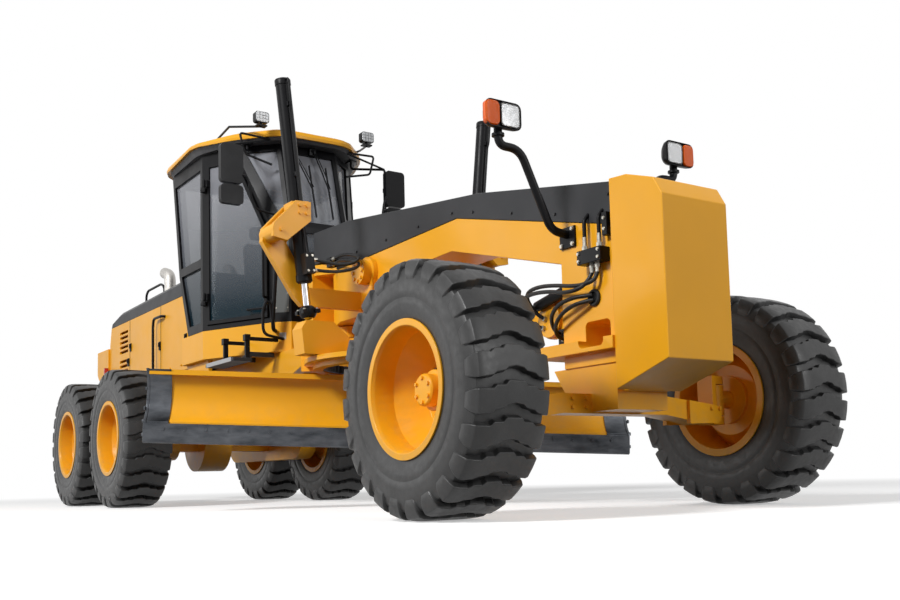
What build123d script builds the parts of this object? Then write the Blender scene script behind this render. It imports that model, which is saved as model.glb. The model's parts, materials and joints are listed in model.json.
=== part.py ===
"""Motor grader: rear frame with cab and engine hood, tandem drive, hinged front frame,
leaning and steered front wheels, and a drawbar that carries the circle and the blade.

Millimetres. +X is forward, +Y is left, +Z is up. The ground is Z 0, and the origin lies
under the middle of the machine. `side` is +1 on the left and -1 on the right.
"""

from build123d import *
from math import cos, pi, radians, sin, sqrt
import os

os.makedirs("parts", exist_ok=True)

# Overall reach
NOSE_X = 4565
TAIL_X = -4565

# Wheels
FRONT_AXLE_X = 3830
FRONT_TO_MID_AXLE = 5491
TANDEM_SPACING = 1538
FRONT_TRACK = 2310
REAR_TRACK = 2155
TYRE_RADIUS = 660
TYRE_WIDTH = 445
RIM_WIDTH = 425
RIM_FLANGE_RADIUS = 356
BEAD_SEAT_RADIUS = 322
RIM_WALL = 12
DISC_WALL = 16
HUB_RADIUS = 118
HUB_CAP_RADIUS = 84
HUB_FLANGE_RADIUS = 150
SPINDLE_RADIUS = 55
BAR_COUNT = 24
BAR_HALF_LENGTH = 58
BAR_SWEEP = 50
BAR_HALF_WIDTH = 216
BAR_ROOT_RADIUS = 520
TREAD_RADIUS = 630
SHOULDER_Y = 204
BULGE_RADIUS = 480
FIT_GAP = 0.5
SEAT_GAP = 0.3
MOVING_GAP = 6

# Where the two frames are hinged
PIVOT_X = 800
PIVOT_PIN_RADIUS = 45
TONGUE_THICK = 90
LOWER_TONGUE_Z = 1375
UPPER_TONGUE_Z = 1915

# Front frame
BEAM_HALF_WIDTH = 200
COVER_HALF_WIDTH = 205
NECK_REAR_RADIUS = 130
NOSE_HALF_WIDTH = 245
NOSE_BACK_X = 4180
LEG_BACK_X = 3715
LEG_BOTTOM_Z = 815

# Front axle, wheel lean and steering
KINGPIN_Y = 930
KINGPIN_RADIUS = 28
LEAN_PIN_Y = 800
LEAN_PIN_Z = 560
LEAN_PIN_RADIUS = 25
LEAN_BOSS_RADIUS = 55
YOKE_HALF_DEPTH = 60
EAR_THICK = 50
EAR_RADIUS = 50
KNUCKLE_HEIGHT = 190

# Drawbar, circle and blade
BALL_X = 3500
BALL_Z = 1134
CIRCLE_X = 1530
CIRCLE_RADIUS = 700
CIRCLE_BORE_RADIUS = 560
CIRCLE_BOTTOM_Z = 1050
CIRCLE_HEIGHT = 70
BLADE_ANGLE = 27
BLADE_TILT = 2.6
BLADE_LENGTH = 3700
BLADE_BOTTOM_Z = 436
BLADE_HEIGHT = 555
BLADE_WALL = 25
BLADE_REST_SHIFT = -31.8
EDGE_HEIGHT = 150
EDGE_THICK = 19
PITCH_PIN_N = -260
PITCH_PIN_Z = 620
PITCH_PIN_RADIUS = 28
CARRIER_OFFSET = 450
CARRIER_WIDTH = 100

# Lift cylinders
LIFT_X = 1500
LIFT_BALL_Y = 730
LIFT_BALL_Z = 1432
LIFT_LEAN = 6.1
LIFT_PIVOT_UP = 745
BARREL_RADIUS = 55
BARREL_BOTTOM_UP = 235
BARREL_LENGTH = 1500
ROD_RADIUS = 27
ROD_BALL_RADIUS = 48

# Cab
CAB_FLOOR_Z = 1580
CAB_KNEE_Z = 2420
CAB_TOP_Z = 3200
CAB_REAR_HALF_WIDTH = 740
CAB_FRONT_HALF_WIDTH = 400
CAB_WALL = 50
CAB_FRONT_X = 270
CAB_CORNER_SLOPE = 1.02
SCREEN_TOP_X = 60
DOOR_POST_X = -600
DOOR_FRONT_X = 150
DOOR_TOP_X = -240
DOOR_THICK = 40
DOOR_GAP = 8
GLASS_THICK = 6

# Door hinges: pin place from the door post and out of the wall, and heights
HINGE_RUN = 64
HINGE_OUT = 46
HINGE_PIN_RADIUS = 10
HINGE_KNUCKLE_RADIUS = 17
HINGE_HEIGHTS = (1840, 2880)
LUG_HEIGHT = 40
KNUCKLE_LENGTH = 60

# Hood and tail
HOOD_FRONT_X = -1150
HOOD_REAR_X = -4100
HOOD_HALF_WIDTH = 580
HOOD_BOTTOM_Z = 1330
HOOD_WALL = 30
HOOD_BAND_Z = 2075

MID_AXLE_X = FRONT_AXLE_X - FRONT_TO_MID_AXLE
REAR_AXLE_X = MID_AXLE_X - TANDEM_SPACING
TANDEM_X = (MID_AXLE_X + REAR_AXLE_X) / 2
FRONT_WHEEL_Y = FRONT_TRACK / 2
REAR_WHEEL_Y = REAR_TRACK / 2

# The section plane of the blade: local x points out of its hollow face, local y up
BLADE_LEVEL = Vector(sin(radians(BLADE_ANGLE)), cos(radians(BLADE_ANGLE)), 0)
BLADE_FACING = Vector(cos(radians(BLADE_ANGLE)), -sin(radians(BLADE_ANGLE)), 0)
BLADE_ALONG = BLADE_LEVEL * cos(radians(BLADE_TILT)) - Vector(0, 0, 1) * sin(radians(BLADE_TILT))
BLADE_UP = BLADE_FACING.cross(BLADE_ALONG)


def blade_section(along):
    """Section plane of the tilted blade at a distance along it from the circle's centre."""
    centre = Vector(CIRCLE_X, 0, PITCH_PIN_Z)
    origin = centre + BLADE_ALONG * along - BLADE_UP * PITCH_PIN_Z
    return Plane(origin=origin, x_dir=BLADE_FACING, z_dir=-BLADE_ALONG)


def level_section(along):
    """Upright section plane across the circle, square to the blade seen from above."""
    origin = Vector(CIRCLE_X, 0, 0) + BLADE_LEVEL * along
    return Plane(origin=origin, x_dir=BLADE_FACING, z_dir=-BLADE_LEVEL)


def side_plane(y):
    """Section along the machine at a distance to the left: local x forward, local y up."""
    return Plane.XZ.offset(-y)


def keep(piece, name):
    """Label a finished piece and write it."""
    piece.part.label = name
    export_step(piece.part, f"parts/{name}.step")


def wheel_plane(x, wheel_y, side):
    """Half section of a wheel: local x outwards along its axle, local y away from it."""
    origin = (x, side * wheel_y, TYRE_RADIUS)
    return Plane(origin=origin, x_dir=(0, side, 0), z_dir=(side, 0, 0))


def wheel_axis(x, wheel_y, side):
    return Axis((x, side * wheel_y, TYRE_RADIUS), (0, side, 0))


def make_rim(name, x, wheel_y, side):
    """Rim, disc and hub turned as one body, with a blind bore for the spindle."""
    half = RIM_WIDTH / 2
    inner = BEAD_SEAT_RADIUS - RIM_WALL
    bore = SPINDLE_RADIUS + FIT_GAP
    disc_face = -75
    disc_back = disc_face - DISC_WALL
    hub_inner = -120
    with BuildPart() as rim:
        with BuildSketch(wheel_plane(x, wheel_y, side)):
            with BuildLine():
                Polyline(
                    (-half, RIM_FLANGE_RADIUS),
                    (-half + RIM_WALL, RIM_FLANGE_RADIUS),
                    (-half + RIM_WALL, BEAD_SEAT_RADIUS),
                    (half - RIM_WALL, BEAD_SEAT_RADIUS),
                    (half - RIM_WALL, RIM_FLANGE_RADIUS),
                    (half, RIM_FLANGE_RADIUS),
                    (half, inner + RIM_WALL),
                    (half - 2 * RIM_WALL, inner),
                    (80, inner),
                    (disc_face, 210),
                    (disc_face, HUB_RADIUS),
                    (30, HUB_RADIUS - 12),
                    (30, HUB_CAP_RADIUS),
                    (85, HUB_CAP_RADIUS),
                    (95, HUB_CAP_RADIUS - 10),
                    (95, 0),
                    (60, 0),
                    (60, bore),
                    (hub_inner, bore),
                    (hub_inner, HUB_FLANGE_RADIUS),
                    (disc_back, HUB_FLANGE_RADIUS),
                    (disc_back, 222),
                    (55, inner),
                    (-half, inner),
                    close=True,
                )
            make_face()
        revolve(axis=wheel_axis(x, wheel_y, side))
    keep(rim, name)


def flat_ring(y, inner_radius):
    """Cross section of the carcass at a distance along its axle: one flat for each bar."""
    with BuildSketch(side_plane(y)) as ring:
        RegularPolygon(inner_radius / cos(pi / BAR_COUNT), BAR_COUNT)
    return ring.sketch


# Tyre: a carcass with a flat for each tread bar, dished sides, and chevron bars across it
TYRE_HALF = TYRE_WIDTH / 2
BEAD_HALF = RIM_WIDTH / 2 - RIM_WALL - SEAT_GAP
BAR_REACH = BAR_HALF_LENGTH + BAR_SWEEP / 2
BAR_TOP = sqrt(TYRE_RADIUS**2 - BAR_REACH**2)
with BuildPart() as tyre_bar:
    with BuildSketch(Plane.XY.offset(BAR_ROOT_RADIUS)):
        with BuildLine():
            Polyline(
                (BAR_REACH, -BAR_HALF_WIDTH),
                (BAR_REACH - BAR_SWEEP, 0),
                (BAR_REACH, BAR_HALF_WIDTH),
                (BAR_SWEEP - BAR_REACH, BAR_HALF_WIDTH),
                (-BAR_REACH, 0),
                (BAR_SWEEP - BAR_REACH, -BAR_HALF_WIDTH),
                close=True,
            )
        make_face()
    extrude(amount=BAR_TOP - BAR_ROOT_RADIUS)
with BuildPart() as tyre_form:
    loft(
        sections=[
            flat_ring(-TYRE_HALF, BULGE_RADIUS),
            flat_ring(-SHOULDER_Y, TREAD_RADIUS - 5),
            flat_ring(SHOULDER_Y, TREAD_RADIUS - 5),
            flat_ring(TYRE_HALF, BULGE_RADIUS),
        ],
        ruled=True,
    )
    for side in (-1, 1):
        loft(
            sections=[
                flat_ring(side * TYRE_HALF, BULGE_RADIUS),
                flat_ring(side * BEAD_HALF, RIM_FLANGE_RADIUS + 3),
            ],
            ruled=True,
            mode=Mode.SUBTRACT,
        )
    with BuildSketch(side_plane(0)):
        RegularPolygon((BEAD_SEAT_RADIUS + SEAT_GAP) / cos(pi / BAR_COUNT), BAR_COUNT)
    extrude(amount=TYRE_HALF, both=True, mode=Mode.SUBTRACT)
    turns = [Location((0, 0, 0), (0, (step + 0.5) * 360 / BAR_COUNT, 0)) for step in range(BAR_COUNT)]
    with Locations(*turns):
        add(tyre_bar.part)


def make_tyre(name, x, wheel_y, side):
    """The tyre's form set on its wheel."""
    with BuildPart() as tyre:
        with Locations((x, side * wheel_y, TYRE_RADIUS)):
            add(tyre_form.part)
    keep(tyre, name)


# Wheel names, axle places and half tracks
WHEELS = (
    ("front", FRONT_AXLE_X, FRONT_WHEEL_Y),
    ("mid", MID_AXLE_X, REAR_WHEEL_Y),
    ("rear", REAR_AXLE_X, REAR_WHEEL_Y),
)
SIDES = (("left", 1), ("right", -1))

for axle, axle_x, wheel_y in WHEELS:
    for hand, side in SIDES:
        make_rim(f"{axle}_rim_{hand}", axle_x, wheel_y, side)
        make_tyre(f"{axle}_tyre_{hand}", axle_x, wheel_y, side)


# Rear axle: a tube across the machine with the drive housing at its middle
CASE_INNER_Y = 640
CASE_OUTER_Y = 815
AXLE_TUBE_HEIGHT = 220
AXLE_TUBE_DEPTH = 260
DRIVE_RADIUS = 320
DRIVE_WIDTH = 300
with BuildPart() as rear_axle:
    with BuildSketch(Plane.YZ.offset(TANDEM_X)):
        with Locations((0, TYRE_RADIUS)):
            Rectangle(2 * CASE_INNER_Y, AXLE_TUBE_HEIGHT)
    extrude(amount=AXLE_TUBE_DEPTH / 2, both=True)
    with BuildSketch(side_plane(0)):
        with Locations((TANDEM_X, TYRE_RADIUS)):
            Circle(DRIVE_RADIUS)
    extrude(amount=DRIVE_WIDTH / 2, both=True)
keep(rear_axle, "rear_axle")

# Tandem cases: long chain boxes with round ends, a hub boss and a spindle at each wheel
CASE_HEIGHT = 430
BOSS_RADIUS = 140
SPINDLE_REACH = 55
HUB_REACH = 120
with BuildPart() as tandem_cases:
    for hand, side in SIDES:
        with BuildSketch(side_plane(side * (CASE_INNER_Y + CASE_OUTER_Y) / 2)):
            with Locations((TANDEM_X, TYRE_RADIUS)):
                SlotCenterToCenter(TANDEM_SPACING, CASE_HEIGHT)
        extrude(amount=(CASE_OUTER_Y - CASE_INNER_Y) / 2, both=True)
        boss_end = REAR_WHEEL_Y - HUB_REACH - MOVING_GAP
        with BuildSketch(side_plane(side * CASE_OUTER_Y)):
            with Locations((MID_AXLE_X, TYRE_RADIUS), (REAR_AXLE_X, TYRE_RADIUS)):
                Circle(BOSS_RADIUS)
        extrude(amount=-side * (boss_end - CASE_OUTER_Y))
        with BuildSketch(side_plane(side * CASE_OUTER_Y)):
            with Locations((MID_AXLE_X, TYRE_RADIUS), (REAR_AXLE_X, TYRE_RADIUS)):
                Circle(SPINDLE_RADIUS)
        extrude(amount=-side * (REAR_WHEEL_Y + SPINDLE_REACH - CASE_OUTER_Y))
keep(tandem_cases, "tandem_cases")

# Rear frame: two rails, cross members, and the hinge tower with its two tongues
RAIL_TOP_Z = 1320
RAIL_BOTTOM_Z = 1100
RAIL_Y = 300
RAIL_WIDTH = 90
TOWER_BACK_X = 500
TOWER_FRONT_X = 600
TOWER_HALF_WIDTH = 240
TONGUE_RADIUS = 110
FRAME_REAR_X = -4180
SADDLE_DEPTH = 500
with BuildPart() as rear_frame:
    for hand, side in SIDES:
        with BuildSketch(side_plane(side * RAIL_Y)):
            with BuildLine():
                Polyline(
                    (TOWER_FRONT_X, RAIL_TOP_Z),
                    (TOWER_FRONT_X, RAIL_BOTTOM_Z + 60),
                    (TOWER_FRONT_X - 200, RAIL_BOTTOM_Z),
                    (FRAME_REAR_X, RAIL_BOTTOM_Z),
                    (FRAME_REAR_X, RAIL_TOP_Z),
                    close=True,
                )
            make_face()
        extrude(amount=RAIL_WIDTH / 2, both=True)
    for cross_x in (-350, -1500, FRAME_REAR_X + 60):
        with Locations((cross_x, 0, (RAIL_TOP_Z + RAIL_BOTTOM_Z) / 2)):
            Box(120, 2 * RAIL_Y, RAIL_TOP_Z - RAIL_BOTTOM_Z - 60)
    drive_top = TYRE_RADIUS + DRIVE_RADIUS + 20
    with Locations((TANDEM_X, 0, (drive_top + RAIL_BOTTOM_Z + 60) / 2)):
        Box(SADDLE_DEPTH, 2 * RAIL_Y + RAIL_WIDTH, RAIL_BOTTOM_Z + 60 - drive_top)
    for hand, side in SIDES:
        with Locations((TANDEM_X, side * 450, (RAIL_BOTTOM_Z + TYRE_RADIUS + AXLE_TUBE_HEIGHT / 2) / 2)):
            Box(AXLE_TUBE_DEPTH, 300, RAIL_BOTTOM_Z - TYRE_RADIUS - AXLE_TUBE_HEIGHT / 2)
    tower_top = UPPER_TONGUE_Z + TONGUE_THICK
    with BuildSketch(Plane.YZ.offset(TOWER_BACK_X)):
        with Locations((0, (RAIL_BOTTOM_Z + 60 + tower_top) / 2)):
            Rectangle(2 * TOWER_HALF_WIDTH, tower_top - RAIL_BOTTOM_Z - 60)
        with Locations((0, (RAIL_BOTTOM_Z + 60 + RAIL_TOP_Z) / 2)):
            Rectangle(2 * RAIL_Y + RAIL_WIDTH, RAIL_TOP_Z - RAIL_BOTTOM_Z - 60)
    extrude(amount=TOWER_FRONT_X - TOWER_BACK_X)
    for tongue_z in (LOWER_TONGUE_Z, UPPER_TONGUE_Z):
        with BuildSketch(Plane.XY.offset(tongue_z)):
            with BuildLine():
                Polyline(
                    (TOWER_BACK_X, -TOWER_HALF_WIDTH + 20),
                    (TOWER_FRONT_X + 20, -TOWER_HALF_WIDTH + 20),
                    (PIVOT_X, -TONGUE_RADIUS),
                    (PIVOT_X, TONGUE_RADIUS),
                    (TOWER_FRONT_X + 20, TOWER_HALF_WIDTH - 20),
                    (TOWER_BACK_X, TOWER_HALF_WIDTH - 20),
                    close=True,
                )
            make_face()
            with Locations((PIVOT_X, 0)):
                Circle(TONGUE_RADIUS)
        extrude(amount=TONGUE_THICK)
    with Locations((PIVOT_X, 0, (LOWER_TONGUE_Z + tower_top) / 2)):
        Cylinder(PIVOT_PIN_RADIUS, tower_top - LOWER_TONGUE_Z)
keep(rear_frame, "rear_frame")

# Engine, one plain block between the rails
ENGINE_X = -2700
ENGINE_LENGTH = 1300
ENGINE_WIDTH = 500
ENGINE_BOTTOM_Z = RAIL_BOTTOM_Z + 60 + SEAT_GAP
ENGINE_HEIGHT = 850
with BuildPart() as engine:
    with Locations((ENGINE_X, 0, ENGINE_BOTTOM_Z + ENGINE_HEIGHT / 2)):
        Box(ENGINE_LENGTH, ENGINE_WIDTH, ENGINE_HEIGHT)
keep(engine, "engine")

# Hood: a hollow shell open below and above, whose front follows the cab's sloping back
HOOD_SIDE = (
    (HOOD_FRONT_X, HOOD_BOTTOM_Z),
    (HOOD_REAR_X, HOOD_BOTTOM_Z),
    (HOOD_REAR_X, 1880),
    (HOOD_REAR_X + 60, HOOD_BAND_Z),
    (HOOD_FRONT_X - 290, HOOD_BAND_Z),
    (HOOD_FRONT_X, 1500),
)
VENT_X = -3545
VENT_LENGTH = 310
VENT_HEIGHT = 28
VENT_ROWS = (1520, 1576, 1632, 1740, 1796, 1852, 1908, 1964)
with BuildPart() as hood:
    with BuildSketch(side_plane(0)):
        with BuildLine():
            Polyline(*HOOD_SIDE, close=True)
        make_face()
    extrude(amount=HOOD_HALF_WIDTH, both=True)
    with BuildSketch(side_plane(0)):
        with BuildLine():
            Polyline(*HOOD_SIDE, close=True)
        make_face()
        offset(amount=-HOOD_WALL, kind=Kind.INTERSECTION)
        with Locations(((HOOD_FRONT_X + HOOD_REAR_X) / 2, HOOD_BOTTOM_Z)):
            Rectangle(HOOD_FRONT_X - HOOD_REAR_X - 2 * HOOD_WALL, 4 * HOOD_WALL)
        with Locations(((HOOD_FRONT_X + HOOD_REAR_X) / 2 - 150, HOOD_BAND_Z)):
            Rectangle(HOOD_FRONT_X - HOOD_REAR_X - 600, 4 * HOOD_WALL)
    extrude(amount=HOOD_HALF_WIDTH - HOOD_WALL, both=True, mode=Mode.SUBTRACT)
    for vent_z in VENT_ROWS:
        with Locations((VENT_X, 0, vent_z)):
            Box(VENT_LENGTH, 2 * HOOD_HALF_WIDTH, VENT_HEIGHT, mode=Mode.SUBTRACT)
keep(hood, "hood")

# Hood top: the dark lid, a tapered cap with a flat roof
with BuildPart() as hood_top:
    with BuildSketch(side_plane(0)):
        with BuildLine():
            Polyline(
                (HOOD_FRONT_X - 291, HOOD_BAND_Z + SEAT_GAP),
                (HOOD_REAR_X + 60, HOOD_BAND_Z + SEAT_GAP),
                (HOOD_REAR_X + 130, HOOD_BAND_Z + 100),
                (HOOD_REAR_X + 400, HOOD_BAND_Z + 150),
                (HOOD_FRONT_X - 350, HOOD_BAND_Z + 175),
                close=True,
            )
        make_face()
    extrude(amount=HOOD_HALF_WIDTH, both=True)
    chamfer(
        [e for e in hood_top.edges() if e.center().Z > HOOD_BAND_Z + 90 and abs(e.center().Y) > 1],
        length=45,
    )
keep(hood_top, "hood_top")

# Tail box behind the hood
BUMPER_FRONT_X = -4100
BUMPER_BOTTOM_Z = 1500
BUMPER_TOP_Z = 1840
BUMPER_HALF_WIDTH = 600
with BuildPart() as rear_bumper:
    with BuildSketch(side_plane(0)):
        with BuildLine():
            Polyline(
                (HOOD_REAR_X - SEAT_GAP, BUMPER_BOTTOM_Z - 180),
                (TAIL_X + 60, BUMPER_BOTTOM_Z),
                (TAIL_X, BUMPER_BOTTOM_Z + 60),
                (TAIL_X, BUMPER_TOP_Z),
                (HOOD_REAR_X - SEAT_GAP, BUMPER_TOP_Z),
                close=True,
            )
        make_face()
    extrude(amount=BUMPER_HALF_WIDTH, both=True)
keep(rear_bumper, "rear_bumper")

# Exhaust: a pipe out of the hood top with a bent outlet
EXHAUST_X = -1720
EXHAUST_RADIUS = 55
EXHAUST_BASE_Z = HOOD_BAND_Z + 173.5
with BuildPart() as exhaust:
    with BuildLine():
        FilletPolyline(
            (EXHAUST_X, 0, EXHAUST_BASE_Z),
            (EXHAUST_X, 0, EXHAUST_BASE_Z + 150),
            (EXHAUST_X - 130, 0, EXHAUST_BASE_Z + 205),
            radius=75,
        )
    with BuildSketch(Plane.XY.offset(EXHAUST_BASE_Z)):
        with Locations((EXHAUST_X, 0)):
            Circle(EXHAUST_RADIUS)
            Circle(EXHAUST_RADIUS - 5, mode=Mode.SUBTRACT)
    sweep()
keep(exhaust, "exhaust")

# Cab floor: the platform under the cab with its side sills
SKIRT_BOTTOM_Z = 1180
SKIRT_Y = 670
cab_plan_half = (
    (DOOR_POST_X, CAB_REAR_HALF_WIDTH),
    (DOOR_FRONT_X, CAB_FRONT_HALF_WIDTH),
    (CAB_FRONT_X, CAB_FRONT_HALF_WIDTH - (CAB_FRONT_X - DOOR_FRONT_X) * CAB_CORNER_SLOPE),
)


def cab_plan(rear_x):
    """Corners of the cab seen from above, from a place behind the door posts forward."""
    half = ((rear_x, CAB_REAR_HALF_WIDTH),) + cab_plan_half
    return half + tuple((x, -y) for x, y in reversed(half))


with BuildPart() as cab_floor:
    with BuildSketch(Plane.XY.offset(RAIL_TOP_Z + SEAT_GAP)):
        with BuildLine():
            Polyline(*cab_plan(HOOD_FRONT_X + 2), close=True)
        make_face()
    extrude(amount=CAB_FLOOR_Z - RAIL_TOP_Z - 2 * SEAT_GAP)
    skirt_x = (HOOD_FRONT_X + 2 + DOOR_POST_X) / 2
    skirt_length = DOOR_POST_X - HOOD_FRONT_X - 2
    for hand, side in SIDES:
        with Locations((skirt_x, side * SKIRT_Y, (SKIRT_BOTTOM_Z + RAIL_TOP_Z + 40) / 2)):
            Box(skirt_length, 40, RAIL_TOP_Z + 40 - SKIRT_BOTTOM_Z)
keep(cab_floor, "cab_floor")

# Cab shell: a plan that narrows in two steps, cut above the knee by a leaning screen and corners
CAB_KINK = (-1210, 2170)
CAB_TOP_BACK_X = -1400
CAB_SIDE = (
    (-975, CAB_FLOOR_Z),
    CAB_KINK,
    (CAB_TOP_BACK_X, CAB_TOP_Z),
    (CAB_FRONT_X + 10, CAB_TOP_Z),
    (CAB_FRONT_X + 10, CAB_FLOOR_Z),
)
SCREEN_SLOPE = Vector(SCREEN_TOP_X - CAB_FRONT_X, 0, CAB_TOP_Z - CAB_KNEE_Z).normalized()
SCREEN = Plane(
    origin=(CAB_FRONT_X, 0, CAB_KNEE_Z), x_dir=(0, 1, 0), z_dir=Vector(0, 1, 0).cross(SCREEN_SLOPE)
)
BACK_SLOPE = Vector(CAB_TOP_BACK_X - CAB_KINK[0], 0, CAB_TOP_Z - CAB_KINK[1]).normalized()
BACK = Plane(
    origin=(CAB_KINK[0], 0, CAB_KINK[1]), x_dir=(0, -1, 0), z_dir=Vector(0, -1, 0).cross(BACK_SLOPE)
)
FRONT = Plane(origin=(CAB_FRONT_X, 0, 0), x_dir=(0, 1, 0), z_dir=(1, 0, 0))
LEFT_SIDE = Plane(origin=(0, CAB_REAR_HALF_WIDTH, 0), x_dir=(1, 0, 0), z_dir=(0, -1, 0))
RIGHT_SIDE = Plane(origin=(0, -CAB_REAR_HALF_WIDTH, 0), x_dir=(1, 0, 0), z_dir=(0, -1, 0))
SILL_Z = CAB_FLOOR_Z + 80
POST_X = DOOR_POST_X - 50
LEAN_TOP = 0.91 * sqrt((CAB_FRONT_X - SCREEN_TOP_X) ** 2 + (CAB_TOP_Z - CAB_KNEE_Z) ** 2)
BACK_TOP = 0.89 * sqrt((CAB_KINK[0] - CAB_TOP_BACK_X) ** 2 + (CAB_TOP_Z - CAB_KINK[1]) ** 2)
UPPER_QUARTER = (
    (CAB_TOP_BACK_X + 70, CAB_TOP_Z - 120),
    (POST_X, CAB_TOP_Z - 120),
    (POST_X, CAB_KINK[1] + 80),
    (CAB_KINK[0] + 45, CAB_KINK[1] + 80),
)
LOWER_QUARTER = (
    (CAB_KINK[0] + 60, CAB_KINK[1]),
    (POST_X, CAB_KINK[1]),
    (POST_X, SILL_Z),
    (-940, SILL_Z),
)
DOOR_SLOPE = (CAB_REAR_HALF_WIDTH - CAB_FRONT_HALF_WIDTH) / (DOOR_FRONT_X - DOOR_POST_X)


def corner_plane(side):
    """Outer face of the leaning corner between a door and the screen: local y up the slope."""
    across = Vector(1, -side * CAB_CORNER_SLOPE, 0).normalized()
    back = DOOR_TOP_X - DOOR_FRONT_X
    slope = Vector(back, -side * back * DOOR_SLOPE, CAB_TOP_Z - CAB_KNEE_Z)
    origin = (DOOR_FRONT_X, side * CAB_FRONT_HALF_WIDTH, CAB_KNEE_Z)
    return Plane(origin=origin, x_dir=across * -side, z_dir=across.cross(slope) * -side)


# Fixed panes: plane of the wall, way to its inside, outline
PANES = (
    (SCREEN, -1, ((-240, 50), (240, 50), (236, LEAN_TOP), (-236, LEAN_TOP))),
    (corner_plane(1), -1, ((-52, 130), (-110, 130), (0, LEAN_TOP), (290, LEAN_TOP))),
    (corner_plane(-1), -1, ((52, 130), (110, 130), (0, LEAN_TOP), (-290, LEAN_TOP))),
    (FRONT, -1, ((-225, SILL_Z), (225, SILL_Z), (225, CAB_KNEE_Z - 50), (-225, CAB_KNEE_Z - 50))),
    (BACK, -1, ((-640, 80), (640, 80), (640, BACK_TOP), (-640, BACK_TOP))),
    (LEFT_SIDE, 1, UPPER_QUARTER),
    (LEFT_SIDE, 1, LOWER_QUARTER),
    (RIGHT_SIDE, -1, UPPER_QUARTER),
    (RIGHT_SIDE, -1, LOWER_QUARTER),
)


def door_plane(side, proud=0):
    """Outer face of a cab side wall: local x forward from the door post, local y up."""
    run = Vector(DOOR_FRONT_X - DOOR_POST_X, -side * (CAB_REAR_HALF_WIDTH - CAB_FRONT_HALF_WIDTH), 0)
    out = Vector(0, 0, 1).cross(run.normalized()) * side
    origin = Vector(DOOR_POST_X, side * CAB_REAR_HALF_WIDTH, 0) + out * proud
    return Plane(origin=origin, x_dir=run.normalized(), z_dir=run.normalized().cross(Vector(0, 0, 1)))


def hinge_plane(side, z):
    """Flat section of a door hinge: local x forward along the wall, origin on the pin."""
    wall = door_plane(side, HINGE_OUT)
    origin = wall.origin + wall.x_dir * HINGE_RUN + Vector(0, 0, z)
    return Plane(origin=origin, x_dir=wall.x_dir, z_dir=(0, 0, 1))


DOOR_RUN = sqrt((DOOR_FRONT_X - DOOR_POST_X) ** 2 + (CAB_REAR_HALF_WIDTH - CAB_FRONT_HALF_WIDTH) ** 2)
DOOR_OUTLINE = (
    (60, CAB_FLOOR_Z + 40),
    (DOOR_RUN - 32, CAB_FLOOR_Z + 40),
    (DOOR_RUN - 32, CAB_KNEE_Z - 20),
    (DOOR_RUN * (DOOR_TOP_X - DOOR_POST_X) / (DOOR_FRONT_X - DOOR_POST_X) + 30, CAB_TOP_Z - 100),
    (60, CAB_TOP_Z - 90),
)
with BuildPart() as cab_frame:
    with BuildSketch(side_plane(0)):
        with BuildLine():
            Polyline(*CAB_SIDE, close=True)
        make_face()
    extrude(amount=CAB_REAR_HALF_WIDTH, both=True)
    with BuildSketch(Plane.XY.offset(CAB_FLOOR_Z)):
        with BuildLine():
            Polyline(*cab_plan(-1500), close=True)
        make_face()
    extrude(amount=CAB_TOP_Z - CAB_FLOOR_Z, mode=Mode.INTERSECT)
    for leaning in (SCREEN, corner_plane(1), corner_plane(-1)):
        split(bisect_by=leaning, keep=Keep.BOTTOM)
    offset(amount=-CAB_WALL, kind=Kind.INTERSECTION, mode=Mode.SUBTRACT)
    for hand, side in SIDES:
        with BuildSketch(door_plane(side)):
            with BuildLine():
                Polyline(*DOOR_OUTLINE, close=True)
            make_face()
        extrude(amount=150, both=True, mode=Mode.SUBTRACT)
    for wall, inward, outline in PANES:
        with BuildSketch(wall):
            with BuildLine():
                Polyline(*outline, close=True)
            make_face()
        extrude(amount=1.6 * CAB_WALL, both=True, mode=Mode.SUBTRACT)
    for hand, side in SIDES:
        for hinge_z in HINGE_HEIGHTS:
            with BuildSketch(hinge_plane(side, hinge_z)):
                Circle(HINGE_KNUCKLE_RADIUS)
                with Locations((-20, side * -HINGE_OUT / 2)):
                    Rectangle(30, HINGE_OUT + 20)
                with Locations((-10, 0)):
                    Rectangle(20, 2 * HINGE_KNUCKLE_RADIUS)
            extrude(amount=-LUG_HEIGHT)
            with BuildSketch(hinge_plane(side, hinge_z)):
                Circle(HINGE_PIN_RADIUS)
            extrude(amount=KNUCKLE_LENGTH + MOVING_GAP + 10)
keep(cab_frame, "cab_frame")

with BuildPart() as cab_glass:
    for wall, inward, outline in PANES:
        with BuildSketch(wall.offset(inward * CAB_WALL / 2)):
            with BuildLine():
                Polyline(*outline, close=True)
            make_face()
            offset(amount=-SEAT_GAP, kind=Kind.INTERSECTION, mode=Mode.REPLACE)
        extrude(amount=GLASS_THICK / 2, both=True)
keep(cab_glass, "cab_glass")

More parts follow.
